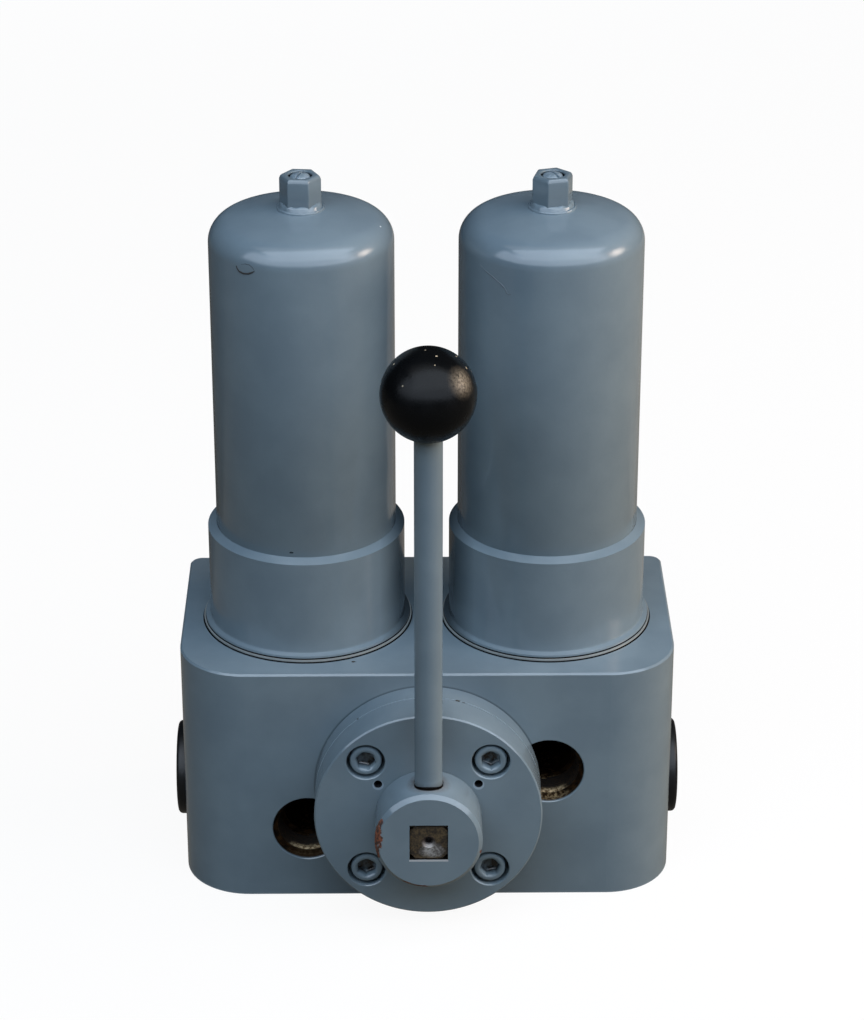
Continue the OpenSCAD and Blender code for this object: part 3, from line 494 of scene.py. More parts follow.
COLLAR_RADIUS = 0.0548
COLLAR_SHOULDER = 0.0024
LIP_RADIUS = 0.0576
LIP_TOP = 0.0038
LIP_GROOVE = 0.0006
collar_low, collar_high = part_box("left_bowl_collar")
collar_foot, collar_top = collar_low.z - block_top, collar_high.z - block_top
collar_inside = TUBE_RADIUS + 0.00005
groove_radius, groove_top = LIP_RADIUS - 2 * LIP_GROOVE, collar_foot + LIP_GROOVE
collar_outline = [(collar_inside, collar_foot), (groove_radius, collar_foot), (groove_radius, groove_top),
                  (LIP_RADIUS, groove_top), (LIP_RADIUS, LIP_TOP - 0.0006),
                  (LIP_RADIUS - 0.0002, LIP_TOP - 0.0002), (LIP_RADIUS - 0.0007, LIP_TOP),
                  (COLLAR_RADIUS + 0.0008, LIP_TOP + 0.0003), (COLLAR_RADIUS + 0.0002, LIP_TOP + 0.0007),
                  (COLLAR_RADIUS, LIP_TOP + 0.0013), (COLLAR_RADIUS, LIP_TOP + 0.0020),
                  (COLLAR_RADIUS, collar_top - COLLAR_SHOULDER), (collar_inside, collar_top)]
for side in SIDES:
    bm = bmesh.new()
    spun(bm, collar_outline)
    finished(f"{side}_turned_collar", bm, collar_finish, f"{side}_bowl", f"{side}_bowl_collar",
             at=on_axis(side, block_top))
    coat(ring_finish, f"{side}_bowl_gasket")

# Vents
# A hexagon boss is welded on each crown, and a slotted screw sits in its counterbore.
# Both were painted with the bowl, thick enough to round the edges of the hexagon.

SEGMENTS = 72


def hexagon(half):
    """Outline of a hexagon, by half its width across flats: the distance from its middle at an angle."""
    return lambda angle: half / cos((angle + pi / 6) % (pi / 3) - pi / 6)


def stacked(bm, rows, closed=False, segments=SEGMENTS):
    """A piece on the z axis, ring on ring. A row is (radius or outline, height). closed joins the last
    ring to the first."""
    ring = bmesh.ops.create_circle(bm, segments=segments, radius=1)["verts"]
    for i, (outline, height) in enumerate(rows):
        if i:
            ring = lifted(bm, ring)
        for v in ring:
            angle = atan2(v.co.y, v.co.x)
            reach = outline(angle) if callable(outline) else outline
            v.co = (reach * cos(angle), reach * sin(angle), height)
    ends = [e for e in bm.edges if e.is_boundary]
    if closed:
        bmesh.ops.bridge_loops(bm, edges=ends)
    else:
        bmesh.ops.holes_fill(bm, edges=ends, sides=segments)


def soften(bm, width, angle):
    """Rounds the edges that are sharper than angle, as thick paint or moulding does."""
    sharp = [e for e in bm.edges if len(e.link_faces) == 2 and e.calc_face_angle() > radians(angle)]
    bmesh.ops.bevel(bm, geom=sharp, offset=width, offset_type="OFFSET", affect="EDGES", segments=2,
                    profile=0.5, material=-1, clamp_overlap=True)


def slot_through(bm, half_width, depth, above):
    """Sinks a screwdriver slot along y into everything above a height."""
    for cut in (-half_width, 0.0002 - half_width, half_width - 0.0002, half_width):
        bmesh.ops.bisect_plane(bm, geom=bm.verts[:] + bm.edges[:] + bm.faces[:], plane_co=(cut, 0, 0),
                               plane_no=(1, 0, 0))
    for v in bm.verts:
        if abs(v.co.x) < half_width - 0.0001 and v.co.z > above:
            v.co.z -= depth


BOSS_HEIGHT = 0.0178
BOSS_TOP = 0.0187
BOSS_HALF = 0.0098
BOSS_RECESS = 0.0064
BOSS_SEAT = BOSS_HEIGHT - 0.005
BOSS_TURN = {"left": radians(85), "right": radians(106)}
boss_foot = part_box("left_vent_boss")[1].z - BOSS_HEIGHT
boss_rows = [(hexagon(BOSS_HALF), 0), (hexagon(BOSS_HALF), BOSS_TOP - 0.0022),
             (hexagon(BOSS_HALF - 0.0005), BOSS_TOP - 0.0008), (hexagon(BOSS_HALF - 0.0011), BOSS_TOP),
             (BOSS_RECESS + 0.0004, BOSS_TOP), (BOSS_RECESS, BOSS_TOP - 0.0004), (BOSS_RECESS, BOSS_SEAT),
             (VENT_BORE, BOSS_SEAT), (VENT_BORE, 0)]

# The paint on the hexagon is mixed a shade darker all over, and its recess is painted black as painted shade.
boss_finish, tree, shader, place, colour, gloss = enamel("Thick enamel on hexagon bar", (1, 1, 0.3), 0.002)
axes = add(tree, "SeparateXYZ", {0: place}).node.outputs
below_top = add(tree, "Math SUBTRACT", {0: boss_foot + BOSS_TOP, 1: axes["Z"]})
# Painted shade: the recess round the screw is painted black.
recess_shade = in_bore(tree, off_axis(tree, beside_bowl(tree, axes), axes["Y"]), below_top,
                 radius=BOSS_RECESS + 0.0002, mouth=(0.0005, 0.0014), bottom=BOSS_TOP)
feed(shader, {"Base Color": layered(tree, colour, (0.22, "#3A444B"), (recess_shade, "#15181B"))})

# Radius and height of the weld bead's rows, in millimetres: a low first run and a fuller one inside it.
BEAD = [(8.5, -0.6), (13.0, -0.6), (13.0, 0.6), (12.8, 1.2), (12.5, 1.4), (12.2, 1.2), (11.9, 0.9),
        (11.7, 1.3), (11.4, 2.4), (11.0, 3.1), (10.5, 3.6), (9.8, 3.8), (8.5, 3.9)]
# The paint follows the lumps of the weld, so it glints in short strokes.
bead_finish = enamel("Thick brushed enamel", (1, 1, 0.3), 0.002)[0]

VENT_SHANK = 0.004
VENT_SHANK_END = 0.0020
VENT_HEAD = 0.0055
VENT_SEAT = 0.0138
VENT_DOME = 0.0022
VENT_TOP = BOSS_TOP + 0.0008
VENT_SLOT = 0.0014
SLOT_DEPTH = 0.0012
SLOT_TURN = {"left": radians(-20), "right": radians(35)}
vent_rows = [(VENT_SHANK, VENT_SHANK_END), (VENT_SHANK, VENT_SEAT), (VENT_HEAD, VENT_SEAT)]
vent_rows += [(VENT_HEAD * cos(a), VENT_TOP - VENT_DOME * (1 - sin(a)))
              for a in (0, pi / 8, pi / 4, 3 * pi / 8, 1.45)]

# Lumpy paint on the screw is paler where it stands high.
screw_paint, tree, shader, place, colour, gloss = enamel("Lumpy enamel on slotted screw", (1, 1, 1), 0.0015)
_, thin = blotches(tree, place, 0.0012, 3.0, {"From": (0.45, 0.65)})
feed(shader, {"Base Color": layered(tree, colour, (thin, "#8B99A4"))})

for side, sign in SIDES.items():
    bm = bmesh.new()
    stacked(bm, boss_rows, closed=True)
    soften(bm, 0.0004, 40)
    finished(f"{side}_vent_hexagon", bm, boss_finish, f"{side}_bowl", f"{side}_vent_boss",
             sharp=50, at=on_axis(side, boss_foot, BOSS_TURN[side]))

    bm = bmesh.new()
    stacked(bm, [(radius / 1000, height / 1000) for radius, height in BEAD], closed=True)
    for v in bm.verts:
        swell = noise.noise(v.co * 420 + Vector((sign, 0, 0))) + 0.6 * noise.noise(v.co * 1100)
        v.co.xy *= 1 + 0.018 * swell
        v.co.z *= 1 + 0.15 * swell
    finished(f"{side}_weld_bead", bm, bead_finish, f"{side}_bowl", sharp=80,
             at=on_axis(side, boss_foot))

    bm = bmesh.new()
    stacked(bm, vent_rows)
    slot_through(bm, VENT_SLOT / 2, SLOT_DEPTH, BOSS_TOP - 0.0016)
    finished(f"{side}_slotted_screw", bm, screw_paint, f"{side}_vent", f"{side}_vent_screw",
             sharp=50, at=on_axis(side, boss_foot, SLOT_TURN[side]))

# Cover of the change-over valve
# A turned spacer ring and a turned flange, held to the block by four socket head screws.
# The paint lies thin over the turning marks round the rim, and is chipped along the seam between the two.

PLATE_HOLE_X = 0.0274
PLATE_HOLE_RISE = 0.0204

# Fine rings run round the rim, with dark chips at the seam and a pale line in its groove that is a painted
# highlight. Round the two plate holes a pale crescent below is a painted highlight and the dark mouth is
# painted shade.
cover_finish, tree, shader, place, colour, gloss = enamel(
    "Sprayed enamel on turned flange", (0.5, 9, 0.5), 0.004)
axes = add(tree, "SeparateXYZ", {0: place}).node.outputs
from_seam = add(tree, "Math SUBTRACT", {0: axes["Y"], 1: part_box("spacer_ring")[0].y})
distance = add(tree, "Math ABSOLUTE", {0: from_seam})
at_seam = add(tree, "MapRange", {"Value": distance, "From": (0.0011, 0.0005)})
_, chipped = blotches(tree, place, 0.007, 5.0, {"From": (0.60, 0.64)})
# Painted highlight: a pale line in the seam's groove.
seam_highlight = add(tree, "MapRange", {"Value": distance, "From": (0.0003, 0.00015)})
colour = layered(tree, colour, (seam_highlight, "#98A8B2"), (at_seam, chipped, "#4C4A45"))
across = add(tree, "Math ABSOLUTE", {0: axes["X"]})
off_hole = add(tree, "CombineXYZ", {0: across, 1: axes["Z"]})
# Painted highlight and shade: a pale crescent under each plate hole, and a dark ring at its mouth.
for drop, reach, light_or_shade_tint in ((0.0007, 0.0032, "#93A3AE"), (0.0, 0.0025, "#25272A")):
    hole = (PLATE_HOLE_X, valve_z + PLATE_HOLE_RISE - drop, 0)
    hole_distance = add(tree, "VectorMath DISTANCE", {0: off_hole, 1: hole}, "Value")
    mouth = add(tree, "MapRange", {"Value": hole_distance, "From": (reach, reach - 0.0003)})
    colour = layered(tree, colour, (mouth, light_or_shade_tint))
feed(shader, {"Base Color": colour})
coat(cover_finish, "spacer_ring", "cover_flange")

# Cover screws
# Four M12 socket head cap screws, sunk in counterbores and painted over with the cover.
# Their hexagon sockets hold dirt and half-filled paint.

SCREW_RADIUS = 0.0087
SCREW_SHANK = 0.006
SCREW_LENGTH = 0.034
SCREW_HEIGHT = 0.012
SCREW_KEY = 0.0049
SCREW_OFFSET = 0.034
screw_foot_y = cover_low.y + 0.001 + SCREW_HEIGHT
screw_rows = [(SCREW_SHANK, -SCREW_LENGTH), (SCREW_SHANK, 0), (SCREW_RADIUS, 0),
              (SCREW_RADIUS, SCREW_HEIGHT - 0.0013), (SCREW_RADIUS - 0.0002, SCREW_HEIGHT - 0.0007),
              (SCREW_RADIUS - 0.0006, SCREW_HEIGHT - 0.0002), (SCREW_RADIUS - 0.0013, SCREW_HEIGHT),
              (0.0062, SCREW_HEIGHT), (0.0057, SCREW_HEIGHT - 0.0003),
              (hexagon(SCREW_KEY), SCREW_HEIGHT - 0.0010), (hexagon(SCREW_KEY), 0.0062), (0.0020, 0.0052)]

# Rounded painted heads with a soft shine, brown-black with filth down in the sockets.
screw_finish, tree, shader, place, colour, gloss = enamel("Enamel on socket screws", (1, 1, 1), 0.002)
depth = add(tree, "SeparateXYZ", {0: place}, "Y")
in_socket = add(tree, "MapRange", {"Value": depth, "From": (screw_foot_y - 0.0092, screw_foot_y - 0.0065)})
_, filth_share = blotches(tree, place, 0.004, 3.0, {"From": (0.25, 0.6)})
feed(shader, {"Base Color": layered(tree, colour, (in_socket, filth_share, "#1E1C18"))})

bm = bmesh.new()
for x in (-1, 1):
    for z in (-1, 1):
        one = bmesh.new()
        stacked(one, screw_rows)
        soften(one, 0.0003, 45)
        seated = Matrix.Translation((x * SCREW_OFFSET, screw_foot_y, valve_z + z * SCREW_OFFSET)) @ \
            Matrix.Rotation(radians(90), 4, "X") @ Matrix.Rotation(0.4 * x + 0.7 * z, 4, "Z")
        bmesh.ops.transform(one, matrix=seated, verts=one.verts)
        scrap = bpy.data.meshes.new("scrap")
        one.to_mesh(scrap)
        one.free()
        bm.from_mesh(scrap)
        bpy.data.meshes.remove(scrap)
finished("socket_screws", bm, screw_finish, "head", "cover_screws")

# Lever hub and rod
# The hub is a turned boss with a square broached hole, and the round rod is screwed into it from above.
# The paint has chipped off the hub's rim, where it rusts, and rust has crept out round the foot of the rod.

hub_low, hub_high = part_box("lever_hub")
rod_y = middle_of("lever_rod")[1]
# Centre of each chip, with its place on the hub's face and depth behind it, and its half sizes.
CHIPS = [((-0.0283, 0.002, 0.0035), (0.0042, 0.0040, 0.0110)),
         ((-0.0285, 0.004, -0.0065), (0.0036, 0.0040, 0.0055)),
         ((-0.0260, 0.001, 0.0130), (0.0020, 0.0020, 0.0022)),
         ((-0.0055, 0.0014, -0.0278), (0.0075, 0.0030, 0.0014)),
         ((-0.0120, 0.0014, -0.0258), (0.0036, 0.0030, 0.0018)),
         ((0.0283, 0.002, -0.0065), (0.0012, 0.0012, 0.0012))]
# Half width, middle, half height and colour of the painted highlight under the square hole, and of the
# painted shade round it and on its walls.
SQUARE_HOLE_LIGHT_AND_SHADE = [(0.0106, -0.0111, 0.0006, "#B4B7BA"), (0.0104, 0.0003, 0.0107, "#12100E")]

# Where the paint is gone the steel is rough and red-brown. The rest has the soft gloss of the cover.
hub_finish, tree, shader, place, colour, gloss = enamel("Chipped enamel on turned hub", (1, 4, 1), 0.003)
axes = add(tree, "SeparateXYZ", {0: place}).node.outputs
scale_size, scale_share = blotches(tree, place, 0.0016, 4.0, {"From": (0.42, 0.6)})
scale = layered(tree, "#38221A", (scale_share, "#86492E"))
gone = None
for (x, y, z), reach in CHIPS:
    chip = spot(tree, place, (x, hub_low.y + y, valve_z + z), reach, 0.0032)
    gone = add(tree, "Math MAXIMUM", {0: gone, 1: chip}) if gone else chip
from_rod = add(tree, "Math SUBTRACT", {0: axes["Y"], 1: rod_y})
stain = add(tree, "MapRange", {"Value": off_axis(tree, axes["X"], from_rod), "From": (0.0125, 0.0080)})
on_top = add(tree, "MapRange", {"Value": axes["Z"], "From": (valve_z + 0.024, valve_z + 0.027)})
# Painted shade: a dark crescent in the front of the rod's mouth.
from_mouth = add(tree, "Math SUBTRACT", {0: axes["Y"], 1: rod_y - 0.0014})
rod_mouth_shade = add(tree, "MapRange", {"Value": off_axis(tree, axes["X"], from_mouth), "From": (0.0081, 0.0077)})
colour = layered(tree, colour, (stain, on_top, scale_size, "#5A4634"), (rod_mouth_shade, on_top, "#120D09"))
# Painted highlight under the square hole, and painted shade round it and on its walls.
at_face = add(tree, "Math LESS_THAN", {0: axes["Y"], 1: hub_low.y + 0.012})
for half_width, middle, half_height, light_or_shade_tint in SQUARE_HOLE_LIGHT_AND_SHADE:
    beside = add(tree, "Math COMPARE", {0: axes["X"], 1: 0.0, 2: half_width})
    level = add(tree, "Math COMPARE", {0: axes["Z"], 1: valve_z + middle, 2: half_height})
    colour = layered(tree, colour, (beside, level, at_face, light_or_shade_tint))
rough = add(tree, "Math MULTIPLY_ADD", {0: gone, 1: 0.4, 2: gloss})
feed(shader, {"Base Color": layered(tree, colour, (gone, scale)), "Roughness": rough})
coat(hub_finish, "lever_hub")

# Drawn rod shows upright streaks, brown at its foot, with a dark curved band of painted shadow where it
# enters the hub.
ROD_RADIUS = 0.0075
ROD_SHADOW_BOW = 0.0022
rod_finish, tree, shader, place, colour, gloss = enamel("Sprayed enamel on drawn rod", (6, 6, 0.15), 0.003)
axes = add(tree, "SeparateXYZ", {0: place}).node.outputs
foot = add(tree, "MapRange", {"Value": axes["Z"], "From": (hub_high.z + 0.0035, hub_high.z - 0.001)})
runs = add(tree, "TexNoise", {"Vector": place, "Scale": 1 / 0.003, "Detail": 3.0})
# Painted shadow: a dark band bowed round the rod where it enters the hub.
squared = add(tree, "Math MULTIPLY", {0: axes["X"], 1: axes["X"]})
bowed = add(tree, "Math MULTIPLY_ADD", {0: squared, 1: ROD_SHADOW_BOW / ROD_RADIUS ** 2, 2: axes["Z"]})
rod_entry_shadow = add(tree, "MapRange", {"Value": bowed, "From": (hub_high.z + 0.0015, hub_high.z + 0.0011)})
feed(shader, {"Base Color": layered(tree, colour, (foot, runs, "#3E3226"), (rod_entry_shadow, "#0F0C08"))})
coat(rod_finish, "lever_rod")

# Valve spindle
# The change-over spool is turned from steel bar; its square end fills the hub's hole, with a centre drilling.
# Left bare: brown with rust, rubbed grey towards the lower right of the square.

# Rust takes the shine, and a smear of bare grey metal keeps some of it. The centre drilling's cone is painted
# pale below and dark above as painted highlight and shade, and its hole is painted dark as painted shade.
spindle_finish, tree, shader, place = new_finish("Machined steel, lightly rusted")
axes = add(tree, "SeparateXYZ", {0: place}).node.outputs
tarnish = add(tree, "TexNoise", {"Vector": place, "Scale": 1 / 0.0045, "Detail": 6.0})
grains = add(tree, "TexNoise", {"Vector": place, "Scale": 1 / 0.0011, "Detail": 3.0})
mottle = add(tree, "Math MULTIPLY", {0: tarnish, 1: grains})
patches = add(tree, "MapRange", {"Value": mottle, "From": (0.17, 0.36)})
from_smear = add(tree, "VectorMath SUBTRACT", {0: place, 1: (0.0018, hub_low.y, valve_z - 0.0056)})
smear_size = add(tree, "VectorMath MULTIPLY", {0: from_smear, 1: (1 / 0.0068, 0, 1 / 0.0050)})
smear = add(tree, "VectorMath LENGTH", {0: smear_size}, "Value")
rubbed = add(tree, "Math MULTIPLY_ADD", {0: tarnish, 1: 1.2, 2: smear})
bright = add(tree, "MapRange", {"Value": rubbed, "From": (1.65, 1.15)})
rust = layered(tree, "#1A140B", (patches, "#52432C"))
grey = layered(tree, "#5A5653", (patches, "#A5A4A2"))
from_valve = add(tree, "Math SUBTRACT", {0: axes["Z"], 1: valve_z})
drill = off_axis(tree, axes["X"], from_valve)
# Painted highlight on the lower side of the drilling's cone, and painted shade above it and in its hole.
cone = add(tree, "MapRange", {"Value": drill, "From": (0.0042, 0.0034)})
lower = add(tree, "MapRange", {"Value": from_valve, "From": (0.001, -0.003)})
cone_light_and_shade = layered(tree, "#2A2019", (lower, "#A8A39E"))
hole = add(tree, "MapRange", {"Value": drill, "From": (0.0024, 0.0019)})
cone_metal = layered(tree, "#3A302A", (grains, cone_light_and_shade))
colour = layered(tree, rust, (bright, grey), (cone, cone_metal), (hole, "#140C0C"))
polish = add(tree, "MapRange", {"Value": grains, "To": (0.35, 0.65)})
shine = add(tree, "Math MULTIPLY", {0: bright, 1: 0.35})
feed(shader, {"Base Color": colour, "Roughness": polish, "Metallic": shine})
coat(spindle_finish, "valve_spool")

# Ball knob
# A moulded phenolic ball on a brass insert, screwed on the end of the rod.
# Black and polished, dulled by handling, with a few pale specks of dust and overspray.

# Deep black with broad soft reflections, pale flecks on the upper half and, on the right, a painted
# reflection of the warm lamp speckled like dust.
knob_finish, tree, shader, place = new_finish("Polished black phenolic")
knob_y, knob_z = middle_of("ball_knob")[1:]
dust = add(tree, "TexVoronoi", {"Vector": place, "Scale": 1 / 0.0055}).node.outputs
fleck = add(tree, "MapRange", {"Value": dust["Distance"], "From": (0.13, 0.08)})
chosen = add(tree, "SeparateColor", {0: dust["Color"]})
few = add(tree, "Math GREATER_THAN", {0: chosen, 1: 0.40})
settled = add(tree, "MapRange", {"Value": add(tree, "SeparateXYZ", {0: place}, "Z"),
                                 "From": (knob_z + 0.004, knob_z + 0.010)})
# A painted reflection of the warm lamp on the right, speckled like dust.
reflection_place = (0.0175, knob_y - 0.0134, knob_z + 0.0118)
from_reflection = add(tree, "VectorMath DISTANCE", {0: place, 1: reflection_place}, "Value")
lamp_reflection_patch = add(tree, "MapRange", {"Value": from_reflection, "From": (0.0105, 0.0)},
              interpolation_type="SMOOTHSTEP")
smut, grains = blotches(tree, place, 0.0011, 4.0, {"From": (0.25, 0.65)})
_, dull = blotches(tree, place, 0.012, 5.0, {"From": (0.3, 0.7), "To": (0.2, 0.34)})
bump = add(tree, "Bump", {"Height": smut, "Strength": 1.0, "Distance": 0.00004})
colour = layered(tree, "#0A0B0C", (lamp_reflection_patch, grains, "#8C8170"), (fleck, few, settled, "#B7A88F"))
feed(shader, {"Base Color": colour, "Roughness": dull, "Normal": bump, "Specular IOR Level": 0.12})
coat(knob_finish, "ball_knob")

# Port plugs
# A moulded plug with a hexagon socket is screwed into the port on each side, with a seal under its collar.
# Black plastic with a dull shine and rounded edges.

# A fine moulded grain breaks the shine, and scuffs grey it a little.
plug_finish, tree, shader, place = new_finish("Moulded black polyamide")
mould = add(tree, "TexNoise", {"Vector": place, "Scale": 1 / 0.0009, "Detail": 2.0})
scuff, rough = blotches(tree, place, 0.014, 5.0, {"To": (0.3, 0.5)})
bump = add(tree, "Bump", {"Height": mould, "Strength": 1.0, "Distance": 0.00004})
feed(shader, {"Base Color": layered(tree, "#0D0E0E", (scuff, "#17181A")), "Roughness": rough, "Normal": bump,
              "Specular IOR Level": 0.3})

PLUG_COLLAR = 0.027
PLUG_THICK = 0.006
PLUG_ROUND = 0.0024
PLUG_SHANK = 0.0221
PLUG_CORE = PLUG_SHANK - 0.0012
PLUG_LENGTH = 0.018
PLUG_KEY = 0.012
PLUG_KEY_DEPTH = 0.014
PLUG_PITCH = 0.0023
plug_rows = [(PLUG_CORE - 0.001, -PLUG_LENGTH), (PLUG_CORE, 0.001 - PLUG_LENGTH), (PLUG_CORE, 0),
             (PLUG_COLLAR - 0.0006, 0), (PLUG_COLLAR, 0.0006)]
plug_rows += [(PLUG_COLLAR - PLUG_ROUND * (1 - cos(a)), PLUG_THICK - PLUG_ROUND * (1 - sin(a)))
              for a in (0, pi / 8, pi / 4, 3 * pi / 8, pi / 2)]
plug_rows += [(hexagon(PLUG_KEY + 0.0006), PLUG_THICK), (hexagon(PLUG_KEY), PLUG_THICK - 0.0006),
              (hexagon(PLUG_KEY), PLUG_THICK - PLUG_KEY_DEPTH)]
for side, sign in SIDES.items():
    bm = bmesh.new()
    stacked(bm, plug_rows)
    thread(bm, PLUG_CORE - 0.0001, PLUG_SHANK, 0.0015 - PLUG_LENGTH, 0.014, PLUG_PITCH, 72)
    port = Matrix.Translation((sign * head_high.x, 0, side_port_z))
    finished(f"{side}_screw_plug", bm, plug_finish, f"{side}_plug", f"{side}_port_plug",
             at=port @ Matrix.Rotation(sign * radians(90), 4, "Y"))

# Filter elements
# Pleated cloth between two pressed caps, round a perforated core, pushed on a spigot and held by a spring.
# Seen only with a bowl off: pale cloth, zinc-plated caps, drawn spring wire, all wet with oil.

# Matt and fibrous, in clouds of cream where the oil soaked in more or less.
cloth_finish, tree, shader, place = new_finish("Pleated filter cloth, resin bonded")
weave = add(tree, "TexNoise", {"Vector": place, "Scale": 1 / 0.0007, "Detail": 2.0})
soak, rough = blotches(tree, place, 0.02, 4.0, {"To": (0.6, 0.9)})
bump = add(tree, "Bump", {"Height": weave, "Strength": 1.0, "Distance": 0.00015})
feed(shader, {"Base Color": layered(tree, "#B9AC8C", (soak, "#DCD3BA")), "Roughness": rough, "Normal": bump})

# Bright grey in the flat spangles of the zinc, each with its own shine.
zinc_finish, tree, shader, place = new_finish("Pressed sheet, zinc plated")
crystals = add(tree, "TexVoronoi", {"Vector": place, "Scale": 1 / 0.006}, "Color")
spangle = add(tree, "SeparateColor", {0: crystals})
rough = add(tree, "MapRange", {"Value": spangle, "To": (0.32, 0.48)})
colour = layered(tree, "#9A9B99", (spangle, "#B8B9B6"))
feed(shader, {"Base Color": colour, "Roughness": rough, "Metallic": 1.0})

# Dark bright metal, a little streaky from the die.
wire_finish, tree, shader, place = new_finish("Drawn spring wire")
draw, rough = blotches(tree, place, 0.002, 3.0, {"To": (0.3, 0.45)})
feed(shader, {"Base Color": layered(tree, "#5A5A5C", (draw, "#8A8A8C")), "Roughness": rough, "Metallic": 1.0})

PLEATS = 40
PLEAT_POINTS = 12
PLEAT_CREST = 0.03656
PLEAT_VALLEY = 0.0276
CORE_RADIUS = 0.02004
SPRING_WIRE = 0.0016
SPRING_RADIUS = 0.016
SPRING_CLOSED_RISE = 0.0037
SPRING_OPEN_TURNS = 3.5


def pleated(angle):
    """Outline of the pleats: the distance of the folded cloth from the axis at an angle."""
    fold = 0.5 + 0.5 * cos(PLEATS * angle)
    return PLEAT_VALLEY + (PLEAT_CREST - PLEAT_VALLEY) * fold ** 0.8


for side in SIDES:
    pack_low, pack_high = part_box(f"{side}_element_pleats")
    bm = bmesh.new()
    stacked(bm, [(pleated, pack_low.z), (pleated, pack_high.z), (CORE_RADIUS, pack_high.z),
                 (CORE_RADIUS, pack_low.z)], closed=True, segments=PLEATS * PLEAT_POINTS)
    finished(f"{side}_pleated_cloth", bm, cloth_finish, "head", f"{side}_element_pleats",
             sharp=60, at=on_axis(side, 0))
    coat(zinc_finish, f"{side}_element_foot_cap", f"{side}_element_core", f"{side}_element_top_cap")

    coil_low, coil_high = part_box(f"{side}_element_spring")
    open_rise = coil_high.z - coil_low.z - 2 * SPRING_WIRE - 2 * SPRING_CLOSED_RISE
    bm = bmesh.new()
    wire = bmesh.ops.create_circle(bm, segments=12, radius=SPRING_WIRE)["verts"]
    coil_start = Matrix.Translation((SPRING_RADIUS, 0, coil_low.z + SPRING_WIRE))
    bmesh.ops.transform(bm, matrix=coil_start @ Matrix.Rotation(radians(90), 4, "X"), verts=wire)
    end = bm.verts[:] + bm.edges[:]
    for turns, rise in ((1, SPRING_CLOSED_RISE), (SPRING_OPEN_TURNS, open_rise), (1, SPRING_CLOSED_RISE)):
        steps = round(turns * 48)
        end = bmesh.ops.spin(bm, geom=end, cent=(0, 0, 0), axis=(0, 0, 1), dvec=(0, 0, rise / steps),
                             angle=2 * pi * turns, steps=steps)["geom_last"]
    bmesh.ops.holes_fill(bm, edges=[e for e in bm.edges if e.is_boundary], sides=12)
    finished(f"{side}_spring_wire", bm, wire_finish, "head", f"{side}_element_spring",
             sharp=60, at=on_axis(side, 0))

# Seals, bearings and inserts
# Moulded nitrile O-rings, a turned bronze bush and washer, soft copper under the vent screws, a brass insert.
# They sit inside the strainer, and some of them show when a bowl or a plug is out.

# Soft black with a grey bloom and hardly any shine.
rubber_finish, tree, shader, place = new_finish("Moulded nitrile rubber")
bloom, rough = blotches(tree, place, 0.006, 4.0, {"To": (0.45, 0.7)})
feed(shader, {"Base Color": layered(tree, "#121212", (bloom, "#232323")), "Roughness": rough})
coat(rubber_finish, "cover_o_rings", "spindle_seal", "spool_o_rings")

# Each metal keeps its own colour, with fine rings of lighter and darker metal from the lathe.
METALS = [("Turned bearing bronze", "#8A6432", "#B08A4E"), ("Turned brass", "#A8873E", "#CDAE62"),
          ("Soft copper", "#9A5A3A", "#C08058"), ("Turned steel, oiled", "#6E6D6B", "#9A9997")]
turned_metals = {}
for metal, dark, light in METALS:
    turned_metals[metal], tree, shader, place = new_finish(metal)
    drawn = add(tree, "Mapping", {"Vector": place, "Scale": (1, 1, 5)})
    rings, rough = blotches(tree, drawn, 0.002, 3.0, {"To": (0.25, 0.45)})
    feed(shader, {"Base Color": layered(tree, dark, (rings, light)), "Roughness": rough, "Metallic": 1.0})
coat(turned_metals["Turned bearing bronze"], "spindle_bush", "thrust_washer")
coat(turned_metals["Turned brass"], "knob_insert")
for side in SIDES:
    coat(rubber_finish, f"{side}_bowl_o_ring", f"{side}_spigot_o_ring", f"{side}_plug_seal")
    coat(turned_metals["Soft copper"], f"{side}_vent_seal")
    coat(turned_metals["Turned steel, oiled"], f"{side}_element_spigot")

# Studio
# A pale floor under a wide cool softbox in front and above, a warm lamp on the right and a low fill behind.
# Cards round and below the strainer show only in reflections, as the dim shed and its windows did.


def seen_rays(tree):
    """1 for rays from the camera, mirrored or let through, 0 for those that light other things."""
    path = add(tree, "LightPath").node.outputs
    seen = add(tree, "Math MAXIMUM", {0: path["Is Camera Ray"], 1: path["Is Glossy Ray"]})
    return add(tree, "Math MAXIMUM", {0: seen, 1: path["Is Transmission Ray"]})


def stage_finish(name):
    """A material with no shader yet: its tree, its coordinates and its output."""
    material, tree, shader, place = new_finish(name)
    tree.nodes.remove(shader)
    return material, tree, place, tree.nodes["Material Output"]


# White to the eye, and dim to what stands on it.
floor_finish, tree, place, output = stage_finish("Matt white floor")
matt = add(tree, "BsdfDiffuse", {"Color": "#F2F2F2"})
lit = add(tree, "Emission", {"Color": "#FFFFFF", "Strength": 1.0})
pale = add(tree, "MixShader", {0: 0.93, 1: matt, 2: lit})
dim = add(tree, "BsdfDiffuse", {"Color": "#626256"})
feed(output, {"Surface": add(tree, "MixShader", {0: seen_rays(tree), 1: dim, 2: pale})})
floor_mesh = bpy.data.meshes.new("floor")
bm = bmesh.new()
bmesh.ops.create_grid(bm, x_segments=1, y_segments=1, size=8)
bm.to_mesh(floor_mesh)
bm.free()
floor_mesh.materials.append(floor_finish)
floor = bpy.data.objects.new("floor", floor_mesh)
bpy.context.scene.collection.objects.link(floor)

